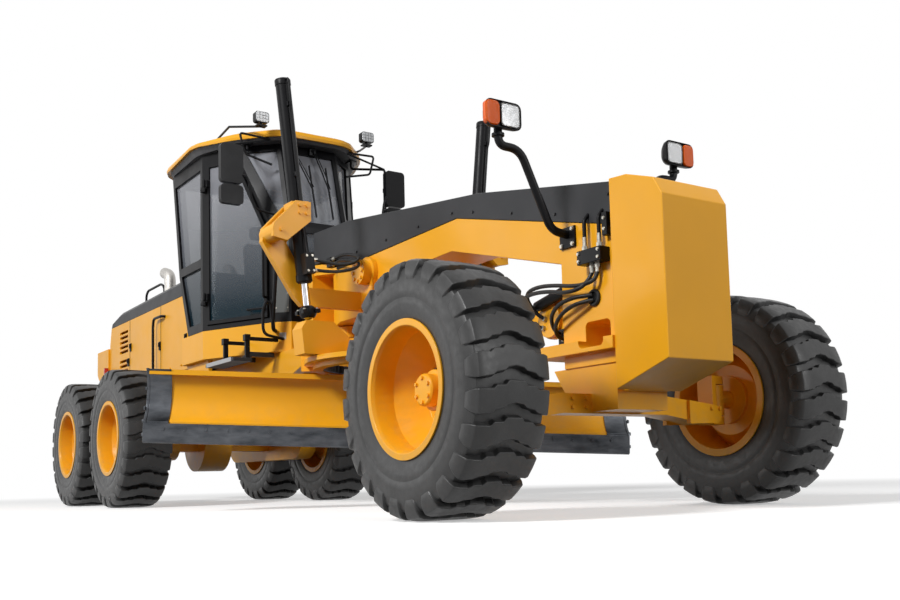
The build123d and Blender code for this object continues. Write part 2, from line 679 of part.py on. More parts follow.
# Doors: a frame with a pane in it, hung on the door posts
DOOR_FRAME_WIDTH = 34
for hand, side in SIDES:
    with BuildPart() as door:
        with BuildSketch(door_plane(side)):
            with BuildLine():
                Polyline(*DOOR_OUTLINE, close=True)
            make_face()
            offset(amount=-DOOR_GAP, kind=Kind.INTERSECTION, mode=Mode.REPLACE)
            offset(amount=-DOOR_FRAME_WIDTH, kind=Kind.INTERSECTION, mode=Mode.SUBTRACT)
        extrude(amount=DOOR_THICK / 2, both=True)
        for hinge_z in HINGE_HEIGHTS:
            with BuildSketch(hinge_plane(side, hinge_z + MOVING_GAP)):
                Circle(HINGE_KNUCKLE_RADIUS)
                with Locations((21, side * -HINGE_OUT / 2)):
                    Rectangle(32, HINGE_OUT)
                with Locations((10, 0)):
                    Rectangle(20, 2 * HINGE_KNUCKLE_RADIUS)
                Circle(HINGE_PIN_RADIUS + FIT_GAP, mode=Mode.SUBTRACT)
            extrude(amount=KNUCKLE_LENGTH)
    keep(door, f"cab_door_{hand}")
    with BuildPart() as pane:
        with BuildSketch(door_plane(side)):
            with BuildLine():
                Polyline(*DOOR_OUTLINE, close=True)
            make_face()
            offset(amount=-DOOR_GAP - DOOR_FRAME_WIDTH - SEAT_GAP, kind=Kind.INTERSECTION, mode=Mode.REPLACE)
        extrude(amount=GLASS_THICK / 2, both=True)
    keep(pane, f"door_glass_{hand}")

# Cab roof: a wide cap that reaches past the walls and narrows to a visor
ROOF_THICK = 120
roof_half = ((-1690, 520), (-1440, 810), (-600, 840), (-90, 640), (240, 330))
with BuildPart() as cab_roof:
    with BuildSketch(Plane.XY.offset(CAB_TOP_Z + SEAT_GAP)):
        with BuildLine():
            Polyline(*roof_half, *[(x, -y) for x, y in reversed(roof_half)], close=True)
        make_face()
    extrude(amount=ROOF_THICK)
    chamfer(cab_roof.faces().sort_by(Axis.Z)[-1].edges(), length=60)
keep(cab_roof, "cab_roof")

# Seat: cushion and back on a pedestal
SEAT_X = -600
SEAT_HALF_WIDTH = 250
SEAT_TOP_Z = 2080
with BuildPart() as seat:
    with BuildSketch(side_plane(0)):
        with BuildLine():
            Polyline(
                (SEAT_X - 260, SEAT_TOP_Z - 130),
                (SEAT_X + 260, SEAT_TOP_Z - 130),
                (SEAT_X + 260, SEAT_TOP_Z),
                (SEAT_X - 160, SEAT_TOP_Z - 20),
                (SEAT_X - 250, SEAT_TOP_Z + 640),
                (SEAT_X - 370, SEAT_TOP_Z + 640),
                close=True,
            )
        make_face()
    extrude(amount=SEAT_HALF_WIDTH, both=True)
keep(seat, "seat")

with BuildPart() as seat_base:
    base_top = SEAT_TOP_Z - 130 - SEAT_GAP
    with Locations((SEAT_X, 0, (CAB_FLOOR_Z + CAB_WALL + base_top) / 2)):
        Box(360, 360, base_top - CAB_FLOOR_Z - CAB_WALL)
keep(seat_base, "seat_base")

# Steering column with its wheel
COLUMN_FOOT_X = 130
COLUMN_TOP_X = -50
COLUMN_TOP_Z = 2400
with BuildPart() as steering_column:
    with BuildSketch(side_plane(0)):
        with BuildLine():
            Polyline(
                (COLUMN_FOOT_X - 90, CAB_FLOOR_Z + CAB_WALL + SEAT_GAP),
                (COLUMN_FOOT_X + 60, CAB_FLOOR_Z + CAB_WALL + SEAT_GAP),
                (COLUMN_TOP_X + 60, COLUMN_TOP_Z),
                (COLUMN_TOP_X - 60, COLUMN_TOP_Z - 40),
                close=True,
            )
        make_face()
    extrude(amount=90, both=True)
    with Locations(Location((COLUMN_TOP_X, 0, COLUMN_TOP_Z + 20), (0, -18, 0))):
        Cylinder(190, 24)
        Cylinder(25, 90)
keep(steering_column, "steering_column")


# Front frame: beam and leg in one side profile, and the neck that meets the hinge
BEAM_BACK_X = 1150
BEAM_BACK_TOP_Z = UPPER_TONGUE_Z - 10
BEAM_SIDE = (
    (BEAM_BACK_X, 1690),
    (2600, 1730),
    (LEG_BACK_X, 1430),
    (LEG_BACK_X, LEG_BOTTOM_Z),
    (NOSE_BACK_X - SEAT_GAP, LEG_BOTTOM_Z),
    (NOSE_BACK_X - SEAT_GAP, 1563),
    (2670, 1938),
    (BEAM_BACK_X, BEAM_BACK_TOP_Z),
)
BALL_DRUM_RADIUS = 110
LEG_WINDOW = (4005, 985, 200, 150)
GUARD_BACK_X = 3515
GUARD_HALF_WIDTH = 260
GUARD_BOTTOM_Z = 885
GUARD_THICK = 70
NECK_BOTTOM_Z = LOWER_TONGUE_Z + TONGUE_THICK + 10
NECK_TOP_Z = BEAM_BACK_TOP_Z
NECK_FRONT_X = 1800
with BuildPart() as front_frame:
    with BuildSketch(Plane.XY.offset(NECK_BOTTOM_Z)):
        with BuildLine():
            Polyline(
                (PIVOT_X, -NECK_REAR_RADIUS),
                (1000, -BEAM_HALF_WIDTH),
                (NECK_FRONT_X, -BEAM_HALF_WIDTH),
                (NECK_FRONT_X, BEAM_HALF_WIDTH),
                (1000, BEAM_HALF_WIDTH),
                (PIVOT_X, NECK_REAR_RADIUS),
                close=True,
            )
        make_face()
        with Locations((PIVOT_X, 0)):
            Circle(NECK_REAR_RADIUS)
    extrude(amount=NECK_TOP_Z - NECK_BOTTOM_Z)
    with BuildSketch(side_plane(0)):
        with BuildLine():
            Polyline(
                (1450, NECK_BOTTOM_Z - 10),
                (NECK_FRONT_X + 10, NECK_BOTTOM_Z - 10),
                (NECK_FRONT_X + 10, 1720),
                close=True,
            )
        make_face()
    extrude(amount=BEAM_HALF_WIDTH + 10, both=True, mode=Mode.SUBTRACT)
    with BuildSketch(side_plane(0)):
        with BuildLine():
            Polyline(*BEAM_SIDE, close=True)
        make_face()
    extrude(amount=BEAM_HALF_WIDTH, both=True)
    with Locations((PIVOT_X, 0, (NECK_BOTTOM_Z + NECK_TOP_Z) / 2)):
        Cylinder(PIVOT_PIN_RADIUS + FIT_GAP, NECK_TOP_Z - NECK_BOTTOM_Z, mode=Mode.SUBTRACT)
    for hand, side in SIDES:
        with BuildSketch(side_plane(side * 85)):
            with BuildLine():
                Polyline(
                    (BALL_X, BALL_Z + 100),
                    (BALL_X, BALL_Z - 100),
                    (LEG_BACK_X + 5, BALL_Z - 160),
                    (LEG_BACK_X + 5, BALL_Z + 160),
                    close=True,
                )
            make_face()
            with Locations((BALL_X, BALL_Z)):
                Circle(BALL_DRUM_RADIUS)
        extrude(amount=20, both=True)
        with BuildSketch(side_plane(side * 105)):
            with Locations((BALL_X, BALL_Z)):
                Circle(BALL_DRUM_RADIUS - 8)
        extrude(amount=-side * 25)
    with BuildSketch(side_plane(0)):
        with Locations((BALL_X, BALL_Z)):
            Circle(PIVOT_PIN_RADIUS)
    extrude(amount=100, both=True)
    with BuildSketch(Plane.XY.offset(GUARD_BOTTOM_Z)):
        with Locations(((GUARD_BACK_X + NOSE_BACK_X - SEAT_GAP) / 2, 0)):
            Rectangle(NOSE_BACK_X - SEAT_GAP - GUARD_BACK_X, 2 * GUARD_HALF_WIDTH)
    extrude(amount=GUARD_THICK)
    with BuildSketch(side_plane(0)):
        with Locations((LEG_WINDOW[0], LEG_WINDOW[1])):
            RectangleRounded(LEG_WINDOW[2], LEG_WINDOW[3], 30)
    extrude(amount=GUARD_HALF_WIDTH + 10, both=True, mode=Mode.SUBTRACT)
    with BuildSketch(Plane.YZ.offset(NOSE_BACK_X - 40)):
        with Locations((0, (LEG_BOTTOM_Z + 660) / 2 + 10)):
            Rectangle(300, LEG_BOTTOM_Z - 660 + 20)
        with Locations((0, 735)):
            Circle(45 + FIT_GAP, mode=Mode.SUBTRACT)
    extrude(amount=40 - SEAT_GAP)
keep(front_frame, "front_frame")

# Beam cover: the dark ridge over the beam
COVER_BACK_X = 560
COVER_STEP_X = 960
COVER_STEP_Z = UPPER_TONGUE_Z + TONGUE_THICK + 10
COVER_SIDE = (
    (COVER_STEP_X, BEAM_BACK_TOP_Z + SEAT_GAP),
    (BEAM_BACK_X, BEAM_BACK_TOP_Z + SEAT_GAP),
    (2670, 1938 + SEAT_GAP),
    (NOSE_BACK_X - SEAT_GAP, 1563 + SEAT_GAP),
    (NOSE_BACK_X - SEAT_GAP, 1805),
    (2920, 2050),
    (BEAM_BACK_X, 2265),
    (COVER_BACK_X, 2290),
    (COVER_BACK_X, COVER_STEP_Z),
    (COVER_STEP_X, COVER_STEP_Z),
)
with BuildPart() as beam_cover:
    with BuildSketch(side_plane(0)):
        with BuildLine():
            Polyline(*COVER_SIDE, close=True)
        make_face()
    extrude(amount=COVER_HALF_WIDTH, both=True)
keep(beam_cover, "beam_cover")

# Nose box
with BuildPart() as nose_box:
    with BuildSketch(side_plane(0)):
        with BuildLine():
            Polyline(
                (NOSE_BACK_X, 660),
                (NOSE_X, 790),
                (NOSE_X, 1640),
                (NOSE_X - 55, 1735),
                (NOSE_X - 255, 1803),
                (NOSE_BACK_X, 1812),
                close=True,
            )
        make_face()
    extrude(amount=NOSE_HALF_WIDTH, both=True)
keep(nose_box, "nose_box")

# Front axle: centre box on its pin, arms, and a fork at each end for the lean pin
ARM_END_Y = 735
ARM_HALF_DEPTH = 90
FORK_PLATE = 30
FORK_GAP = YOKE_HALF_DEPTH + 22
with BuildPart() as front_axle:
    with BuildSketch(side_plane(0)):
        with BuildLine():
            Polyline(
                (3610, LEG_BOTTOM_Z - SEAT_GAP),
                (4130, LEG_BOTTOM_Z - SEAT_GAP),
                (4130, 560),
                (3780, 560),
                close=True,
            )
        make_face()
    extrude(amount=190, both=True)
    with BuildSketch(Plane.YZ.offset(FRONT_AXLE_X)):
        with BuildLine():
            Polyline(
                (-ARM_END_Y, 500),
                (-400, 550),
                (400, 550),
                (ARM_END_Y, 500),
                (ARM_END_Y, 625),
                (400, 660),
                (-400, 660),
                (-ARM_END_Y, 625),
                close=True,
            )
        make_face()
    extrude(amount=ARM_HALF_DEPTH, both=True)
    for hand, side in SIDES:
        for facing in (-1, 1):
            with BuildSketch(Plane.YZ.offset(FRONT_AXLE_X + facing * FORK_GAP)):
                with BuildLine():
                    Polyline(
                        (side * (ARM_END_Y - 160), 500),
                        (side * LEAN_PIN_Y, LEAN_PIN_Z - LEAN_BOSS_RADIUS),
                        (side * LEAN_PIN_Y, LEAN_PIN_Z + LEAN_BOSS_RADIUS),
                        (side * (ARM_END_Y - 160), 640),
                        close=True,
                    )
                make_face()
                with Locations((side * LEAN_PIN_Y, LEAN_PIN_Z)):
                    Circle(LEAN_BOSS_RADIUS)
            extrude(amount=facing * FORK_PLATE)
        with BuildSketch(Plane.YZ.offset(FRONT_AXLE_X)):
            with Locations((side * LEAN_PIN_Y, LEAN_PIN_Z)):
                Circle(LEAN_PIN_RADIUS)
        extrude(amount=FORK_GAP + FORK_PLATE, both=True)
    with BuildSketch(Plane.YZ.offset(4120)):
        with Locations((0, 735)):
            Circle(45)
    extrude(amount=60 - SEAT_GAP)
keep(front_axle, "front_axle")

# Lean yokes: a boss on the lean pin and two ears round the kingpin
EAR_LOW_Z = 500
EAR_HIGH_Z = EAR_LOW_Z + EAR_THICK + KNUCKLE_HEIGHT + 2 * MOVING_GAP
WEB_INNER_Y = 838
WEB_OUTER_Y = 872
for hand, side in SIDES:
    with BuildPart() as lean_yoke:
        with BuildSketch(Plane.YZ.offset(FRONT_AXLE_X)):
            with Locations((side * LEAN_PIN_Y, LEAN_PIN_Z)):
                Circle(LEAN_BOSS_RADIUS)
            with Locations((side * (LEAN_PIN_Y + WEB_OUTER_Y) / 2, LEAN_PIN_Z)):
                Rectangle(WEB_OUTER_Y - LEAN_PIN_Y, 1.6 * LEAN_BOSS_RADIUS)
            with Locations((side * (WEB_INNER_Y + WEB_OUTER_Y) / 2, (EAR_LOW_Z + EAR_HIGH_Z + EAR_THICK) / 2)):
                Rectangle(WEB_OUTER_Y - WEB_INNER_Y, EAR_HIGH_Z + EAR_THICK - EAR_LOW_Z)
        extrude(amount=YOKE_HALF_DEPTH, both=True)
        for ear_z in (EAR_LOW_Z, EAR_HIGH_Z):
            with BuildSketch(Plane.XY.offset(ear_z)):
                with Locations((FRONT_AXLE_X, side * KINGPIN_Y)):
                    Circle(EAR_RADIUS)
                with Locations((FRONT_AXLE_X, side * (WEB_INNER_Y + KINGPIN_Y) / 2)):
                    Rectangle(2 * EAR_RADIUS, KINGPIN_Y - WEB_INNER_Y)
            extrude(amount=EAR_THICK)
        with Locations((FRONT_AXLE_X, side * KINGPIN_Y, (EAR_LOW_Z + EAR_HIGH_Z + EAR_THICK) / 2)):
            Cylinder(KINGPIN_RADIUS, EAR_HIGH_Z + EAR_THICK - EAR_LOW_Z)
        with BuildSketch(Plane.YZ.offset(FRONT_AXLE_X)):
            with Locations((side * LEAN_PIN_Y, LEAN_PIN_Z)):
                Circle(LEAN_PIN_RADIUS + FIT_GAP)
        extrude(amount=YOKE_HALF_DEPTH + 10, both=True, mode=Mode.SUBTRACT)
    keep(lean_yoke, f"lean_yoke_{hand}")

# Steering knuckles: a block on the kingpin and the wheel's spindle
KNUCKLE_LOW_Z = EAR_LOW_Z + EAR_THICK + MOVING_GAP
for hand, side in SIDES:
    with BuildPart() as knuckle:
        with BuildSketch(Plane.XY.offset(KNUCKLE_LOW_Z)):
            with Locations((FRONT_AXLE_X, side * KINGPIN_Y)):
                Circle(KINGPIN_Y - WEB_OUTER_Y - MOVING_GAP)
        extrude(amount=KNUCKLE_HEIGHT)
        with BuildSketch(side_plane(side * KINGPIN_Y)):
            with Locations((FRONT_AXLE_X, TYRE_RADIUS)):
                Circle(SPINDLE_RADIUS)
        extrude(amount=-side * (FRONT_WHEEL_Y + SPINDLE_REACH - KINGPIN_Y))
        with Locations((FRONT_AXLE_X, side * KINGPIN_Y, KNUCKLE_LOW_Z + KNUCKLE_HEIGHT / 2)):
            Cylinder(KINGPIN_RADIUS + FIT_GAP, KNUCKLE_HEIGHT + 20, mode=Mode.SUBTRACT)
    keep(knuckle, f"knuckle_{hand}")

# Drawbar: nose eye, two legs that spread to the circle, and the cross beam over it
DRAWBAR_BOTTOM_Z = CIRCLE_BOTTOM_Z + CIRCLE_HEIGHT + MOVING_GAP
DRAWBAR_TOP_Z = 1250
TIE_HALF_WIDTH = 430
DRIVE_X = CIRCLE_X + 500
DRIVE_CASE_RADIUS = 115
DRIVE_CASE_HEIGHT = 130
MOTOR_RADIUS = 62
MOTOR_HEIGHT = 60
LIFT_PAD_Z = 1370
CROSS_HALF_DEPTH = 80
SHOE_LIP_Z = CIRCLE_BOTTOM_Z + 6
FLANGE_BOTTOM_Z = CIRCLE_BOTTOM_Z + 35
CIRCLE_WEB_RADIUS = 635
with BuildPart() as drawbar:
    with BuildSketch(Plane.XY.offset(DRAWBAR_BOTTOM_Z)):
        with BuildLine():
            Polyline(
                (BALL_X - 60, -30),
                (CIRCLE_X + 720, -TIE_HALF_WIDTH),
                (CIRCLE_X - 450, -TIE_HALF_WIDTH),
                (CIRCLE_X - 450, TIE_HALF_WIDTH),
                (CIRCLE_X + 720, TIE_HALF_WIDTH),
                (BALL_X - 60, 30),
                close=True,
            )
        make_face()
        with BuildLine():
            Polyline((BALL_X - 450, 0), (CIRCLE_X + 770, -260), (CIRCLE_X + 770, 260), close=True)
        make_face(mode=Mode.SUBTRACT)
        with Locations((CIRCLE_X, 0)):
            Circle(330, mode=Mode.SUBTRACT)
    extrude(amount=DRAWBAR_TOP_Z - DRAWBAR_BOTTOM_Z)
    with BuildSketch(Plane.YZ.offset(LIFT_X)):
        with BuildLine():
            Polyline(
                (-LIFT_BALL_Y - 70, DRAWBAR_BOTTOM_Z),
                (LIFT_BALL_Y + 70, DRAWBAR_BOTTOM_Z),
                (LIFT_BALL_Y + 90, LIFT_PAD_Z - 60),
                (LIFT_BALL_Y + 50, LIFT_PAD_Z),
                (LIFT_BALL_Y - 170, LIFT_PAD_Z),
                (TIE_HALF_WIDTH, DRAWBAR_TOP_Z + 10),
                (-TIE_HALF_WIDTH, DRAWBAR_TOP_Z + 10),
                (170 - LIFT_BALL_Y, LIFT_PAD_Z),
                (-LIFT_BALL_Y - 50, LIFT_PAD_Z),
                (-LIFT_BALL_Y - 90, LIFT_PAD_Z - 60),
                close=True,
            )
        make_face()
    extrude(amount=CROSS_HALF_DEPTH, both=True)
    with BuildSketch(Plane.XY.offset(DRAWBAR_TOP_Z)):
        with Locations((DRIVE_X, 0)):
            Circle(DRIVE_CASE_RADIUS)
    extrude(amount=DRIVE_CASE_HEIGHT)
    with BuildSketch(Plane.XY.offset(DRAWBAR_TOP_Z + DRIVE_CASE_HEIGHT)):
        with Locations((DRIVE_X, 0)):
            Circle(MOTOR_RADIUS)
    extrude(amount=MOTOR_HEIGHT)
    with BuildSketch(side_plane(0)):
        with Locations((BALL_X, BALL_Z)):
            Circle(90)
        with Locations((BALL_X - 80, (DRAWBAR_BOTTOM_Z + DRAWBAR_TOP_Z) / 2 - 20)):
            Rectangle(110, 100)
    extrude(amount=58, both=True)
    with BuildSketch(side_plane(0)):
        with Locations((BALL_X, BALL_Z)):
            Circle(PIVOT_PIN_RADIUS + FIT_GAP)
    extrude(amount=70, both=True, mode=Mode.SUBTRACT)
    for along in (45, 135, 225, 315):
        reach = Vector(cos(radians(along)), sin(radians(along)), 0)
        shoe = Plane(origin=Vector(CIRCLE_X, 0, 0), x_dir=reach, z_dir=Vector(0, 0, 1).cross(reach) * -1)
        with BuildSketch(shoe):
            with BuildLine():
                Polyline(
                    (CIRCLE_WEB_RADIUS + 8, SHOE_LIP_Z),
                    (CIRCLE_RADIUS + 45, SHOE_LIP_Z),
                    (CIRCLE_RADIUS + 45, DRAWBAR_TOP_Z - 20),
                    (560, DRAWBAR_TOP_Z - 20),
                    (560, DRAWBAR_BOTTOM_Z),
                    (CIRCLE_WEB_RADIUS, DRAWBAR_BOTTOM_Z),
                    (CIRCLE_WEB_RADIUS, CIRCLE_BOTTOM_Z + CIRCLE_HEIGHT + FIT_GAP),
                    (CIRCLE_RADIUS + 6, CIRCLE_BOTTOM_Z + CIRCLE_HEIGHT + FIT_GAP),
                    (CIRCLE_RADIUS + 6, FLANGE_BOTTOM_Z - FIT_GAP),
                    (CIRCLE_WEB_RADIUS + 8, FLANGE_BOTTOM_Z - FIT_GAP),
                    close=True,
                )
            make_face()
        extrude(amount=60, both=True)
keep(drawbar, "drawbar")

# Circle: a flanged ring with two pairs of cheeks that hold the pitch pins
CHEEK_THICK = 35
CHEEK_INSET = CARRIER_WIDTH / 2 + 16
CIRCLE_WEB_BOTTOM_Z = CIRCLE_BOTTOM_Z - 5
with BuildPart() as circle:
    with BuildSketch(Plane.XY.offset(FLANGE_BOTTOM_Z)):
        with Locations((CIRCLE_X, 0)):
            Circle(CIRCLE_RADIUS)
            Circle(CIRCLE_BORE_RADIUS, mode=Mode.SUBTRACT)
    extrude(amount=CIRCLE_BOTTOM_Z + CIRCLE_HEIGHT - FLANGE_BOTTOM_Z)
    with BuildSketch(Plane.XY.offset(CIRCLE_WEB_BOTTOM_Z)):
        with Locations((CIRCLE_X, 0)):
            Circle(CIRCLE_WEB_RADIUS)
            Circle(CIRCLE_BORE_RADIUS, mode=Mode.SUBTRACT)
    extrude(amount=FLANGE_BOTTOM_Z - CIRCLE_WEB_BOTTOM_Z)
    for end in (-1, 1):
        for facing in (-1, 1):
            start = end * CARRIER_OFFSET + facing * (CHEEK_INSET + CHEEK_THICK / 2)
            pin_z = PITCH_PIN_Z - start * sin(radians(BLADE_TILT))
            with BuildSketch(level_section(start)):
                with BuildLine():
                    Polyline(
                        (-520, CIRCLE_BOTTOM_Z),
                        (-320, CIRCLE_BOTTOM_Z),
                        (-205, pin_z + 30),
                        (-205, pin_z - 30),
                        (-240, pin_z - 55),
                        (-280, pin_z - 55),
                        (-340, pin_z + 60),
                        close=True,
                    )
                make_face()
            extrude(amount=CHEEK_THICK / 2, both=True)
        with BuildSketch(blade_section(end * CARRIER_OFFSET)):
            with Locations((PITCH_PIN_N, PITCH_PIN_Z)):
                Circle(PITCH_PIN_RADIUS)
        extrude(amount=CHEEK_INSET + CHEEK_THICK + 10, both=True)
keep(circle, "circle")

# Gear inside the circle: a ring with square-ended teeth that point at its centre
TOOTH_COUNT = 60
TOOTH_TIP_RADIUS = 520
GEAR_ROOT_RADIUS = 542
with BuildPart() as circle_gear:
    with BuildSketch(Plane.XY.offset(CIRCLE_BOTTOM_Z + 5)):
        with Locations((CIRCLE_X, 0)):
            Circle(CIRCLE_BORE_RADIUS - SEAT_GAP)
            Circle(GEAR_ROOT_RADIUS, mode=Mode.SUBTRACT)
            with PolarLocations((TOOTH_TIP_RADIUS + GEAR_ROOT_RADIUS) / 2 + 2, TOOTH_COUNT):
                Trapezoid(26, GEAR_ROOT_RADIUS - TOOTH_TIP_RADIUS + 6, 70, rotation=90)
    extrude(amount=CIRCLE_HEIGHT - 10)
keep(circle_gear, "circle_gear")

# Moldboard: the curved blade with two rails on its back
MOLDBOARD_BOTTOM_Z = BLADE_BOTTOM_Z + 90
MOLDBOARD_TOP_Z = BLADE_BOTTOM_Z + BLADE_HEIGHT
RAIL_BACK_N = -175
END_PLATE_THICK = 22
END_PLATE_MARGIN = 14
RAIL_HALF_LENGTH = 1150
LOW_RAIL_Z = (640, 680)
HIGH_RAIL_Z = (840, 880)
with BuildPart() as moldboard:
    with BuildSketch(blade_section(BLADE_REST_SHIFT)):
        with BuildLine():
            Line((0, MOLDBOARD_BOTTOM_Z), (0, 600))
            ThreePointArc((0, 600), (-105, 790), (-20, MOLDBOARD_TOP_Z))
            Line((-20, MOLDBOARD_TOP_Z), (-20 - BLADE_WALL, MOLDBOARD_TOP_Z))
            ThreePointArc((-20 - BLADE_WALL, MOLDBOARD_TOP_Z), (-105 - BLADE_WALL, 790), (-BLADE_WALL, 600))
            Line((-BLADE_WALL, 600), (-BLADE_WALL, MOLDBOARD_BOTTOM_Z))
            Line((-BLADE_WALL, MOLDBOARD_BOTTOM_Z), (0, MOLDBOARD_BOTTOM_Z))
        make_face()
        with Locations((-58, MOLDBOARD_TOP_Z - 20)):
            Rectangle(76, 40)
    extrude(amount=BLADE_LENGTH / 2 - END_PLATE_THICK - SEAT_GAP, both=True)
    for low, high in (LOW_RAIL_Z, HIGH_RAIL_Z):
        with BuildSketch(blade_section(BLADE_REST_SHIFT)):
            with Locations(((RAIL_BACK_N - 85) / 2, (low + high) / 2)):
                Rectangle(-85 - RAIL_BACK_N, high - low)
        extrude(amount=RAIL_HALF_LENGTH, both=True)
keep(moldboard, "moldboard")

# Cutting edge with its end bits
with BuildPart() as cutting_edge:
    with BuildSketch(blade_section(BLADE_REST_SHIFT)):
        with BuildLine():
            Polyline(
                (SEAT_GAP, BLADE_BOTTOM_Z),
                (SEAT_GAP + EDGE_THICK, BLADE_BOTTOM_Z + 12),
                (SEAT_GAP + EDGE_THICK, BLADE_BOTTOM_Z + EDGE_HEIGHT),
                (SEAT_GAP, BLADE_BOTTOM_Z + EDGE_HEIGHT),
                close=True,
            )
        make_face()
    extrude(amount=BLADE_LENGTH / 2, both=True)
    front_n = SEAT_GAP + EDGE_THICK
    back_n = -BLADE_WALL - END_PLATE_MARGIN
    top_z = MOLDBOARD_TOP_Z + 4
    for end in (-1, 1):
        inner = BLADE_REST_SHIFT + end * (BLADE_LENGTH / 2 - END_PLATE_THICK)
        with BuildSketch(blade_section(inner)):
            with BuildLine():
                Line((front_n, BLADE_BOTTOM_Z + 12), (front_n, 600))
                ThreePointArc((front_n, 600), (END_PLATE_MARGIN - 105, 790), (END_PLATE_MARGIN - 20, top_z))
                Line((END_PLATE_MARGIN - 20, top_z), (-98, top_z))
                ThreePointArc((-98, top_z), (back_n - 105, 790), (back_n, 600))
                Line((back_n, 600), (back_n, BLADE_BOTTOM_Z + 12))
                Line((back_n, BLADE_BOTTOM_Z + 12), (front_n, BLADE_BOTTOM_Z + 12))
            make_face()
        extrude(amount=-end * END_PLATE_THICK)
keep(cutting_edge, "cutting_edge")

# Blade carriers: an eye on the pitch pin and a claw over both rails
with BuildPart() as blade_carriers:
    for end in (-1, 1):
        with BuildSketch(blade_section(end * CARRIER_OFFSET)):
            with Locations((PITCH_PIN_N, PITCH_PIN_Z)):
                Circle(50)
            with BuildLine():
                Polyline(
                    (PITCH_PIN_N, PITCH_PIN_Z - 50),
                    (-150, LOW_RAIL_Z[0] - 30),
                    (-150, LOW_RAIL_Z[0] - FIT_GAP),
                    (RAIL_BACK_N - FIT_GAP, LOW_RAIL_Z[0] - FIT_GAP),
                    (RAIL_BACK_N - FIT_GAP, HIGH_RAIL_Z[1] + FIT_GAP),
                    (-150, HIGH_RAIL_Z[1] + FIT_GAP),
                    (-150, HIGH_RAIL_Z[1] + 25),
                    (-235, HIGH_RAIL_Z[1] + 25),
                    (-245, PITCH_PIN_Z + 90),
                    (PITCH_PIN_N - 20, PITCH_PIN_Z + 45),
                    close=True,
                )
            make_face()
            with Locations((PITCH_PIN_N, PITCH_PIN_Z)):
                Circle(PITCH_PIN_RADIUS + FIT_GAP, mode=Mode.SUBTRACT)
        extrude(amount=CARRIER_WIDTH / 2, both=True)
keep(blade_carriers, "blade_carriers")


# Lift cylinders: each hangs in a yoke on the saddle and ends in a ball over the drawbar
def lift_plane(side, up=0):
    """Cross section of a lift cylinder at a distance up from its ball."""
    lean = side * radians(LIFT_LEAN)
    axis = Vector(0, sin(lean), cos(lean))
    origin = Vector(LIFT_X, side * LIFT_BALL_Y, LIFT_BALL_Z) + axis * up
    return Plane(origin=origin, x_dir=(1, 0, 0), z_dir=axis)


YOKE_HALF_HEIGHT = 70
YOKE_HALF_WIDTH = 68
LIFT_PIN_RADIUS = 30
LIFT_PRONG_GAP = 75
LIFT_PRONG_THICK = 35
LIFT_PIVOT_Y = LIFT_BALL_Y + LIFT_PIVOT_UP * sin(radians(LIFT_LEAN))
LIFT_PIVOT_Z = LIFT_BALL_Z + LIFT_PIVOT_UP * cos(radians(LIFT_LEAN))
BORE_TOP_UP = BARREL_BOTTOM_UP + BARREL_LENGTH - 60
ROD_TOP_UP = BORE_TOP_UP - 125
for hand, side in SIDES:
    with BuildPart() as barrel:
        with BuildSketch(lift_plane(side, BARREL_BOTTOM_UP)):
            Circle(BARREL_RADIUS)
        extrude(amount=BARREL_LENGTH)
        with BuildSketch(lift_plane(side, BARREL_BOTTOM_UP)):
            Circle(ROD_RADIUS + FIT_GAP)
        extrude(amount=BORE_TOP_UP - BARREL_BOTTOM_UP, mode=Mode.SUBTRACT)
    keep(barrel, f"lift_barrel_{hand}")
    with BuildPart() as lift_yoke:
        with BuildSketch(lift_plane(side, LIFT_PIVOT_UP - YOKE_HALF_HEIGHT)):
            Rectangle(2 * YOKE_HALF_WIDTH, 2 * YOKE_HALF_WIDTH)
        extrude(amount=2 * YOKE_HALF_HEIGHT)
        with BuildSketch(Plane.YZ.offset(LIFT_X)):
            with Locations((side * LIFT_PIVOT_Y, LIFT_PIVOT_Z)):
                Circle(LIFT_PIN_RADIUS)
        extrude(amount=LIFT_PRONG_GAP + LIFT_PRONG_THICK, both=True)
        with BuildSketch(lift_plane(side, LIFT_PIVOT_UP - YOKE_HALF_HEIGHT - 5)):
            Circle(BARREL_RADIUS + SEAT_GAP)
        extrude(amount=2 * YOKE_HALF_HEIGHT + 10, mode=Mode.SUBTRACT)
    keep(lift_yoke, f"lift_yoke_{hand}")
    with BuildPart() as rod:
        with BuildSketch(lift_plane(side)):
            Circle(ROD_RADIUS)
        extrude(amount=ROD_TOP_UP)
        with Locations((LIFT_X, side * LIFT_BALL_Y, LIFT_BALL_Z)):
            Sphere(ROD_BALL_RADIUS)
    keep(rod, f"lift_rod_{hand}")

# Saddle: a collar on each side of the neck, a crescent arm up round the cylinder, and two cheeks
SADDLE_Z = 1780
SADDLE_HUB_RADIUS = 120
ARM_BACK_X = LIFT_X - LIFT_PRONG_GAP - 60
ARM_OUTLINE = (
    (BEAM_HALF_WIDTH + SEAT_GAP, 1500),
    (740, 1500),
    (800, 1560),
    (1050, 1950),
    (1040, 2050),
    (LIFT_PIVOT_Y + 60, LIFT_PIVOT_Z + 60),
    (LIFT_PIVOT_Y - 60, LIFT_PIVOT_Z + 60),
    (LIFT_PIVOT_Y - 60, LIFT_PIVOT_Z - 70),
    (860, 1960),
    (680, 1640),
    (BEAM_HALF_WIDTH + SEAT_GAP, 1640),
)
CHEEK_OUTLINE = (
    (LIFT_PIVOT_Y - 60, LIFT_PIVOT_Z + 60),
    (LIFT_PIVOT_Y + 60, LIFT_PIVOT_Z + 60),
    (1040, 2050),
    (1050, 1950),
    (940, 1930),
    (LIFT_PIVOT_Y - 60, LIFT_PIVOT_Z - 80),
)
LOBE = (985, 2005)
LOBE_RADIUS = 65
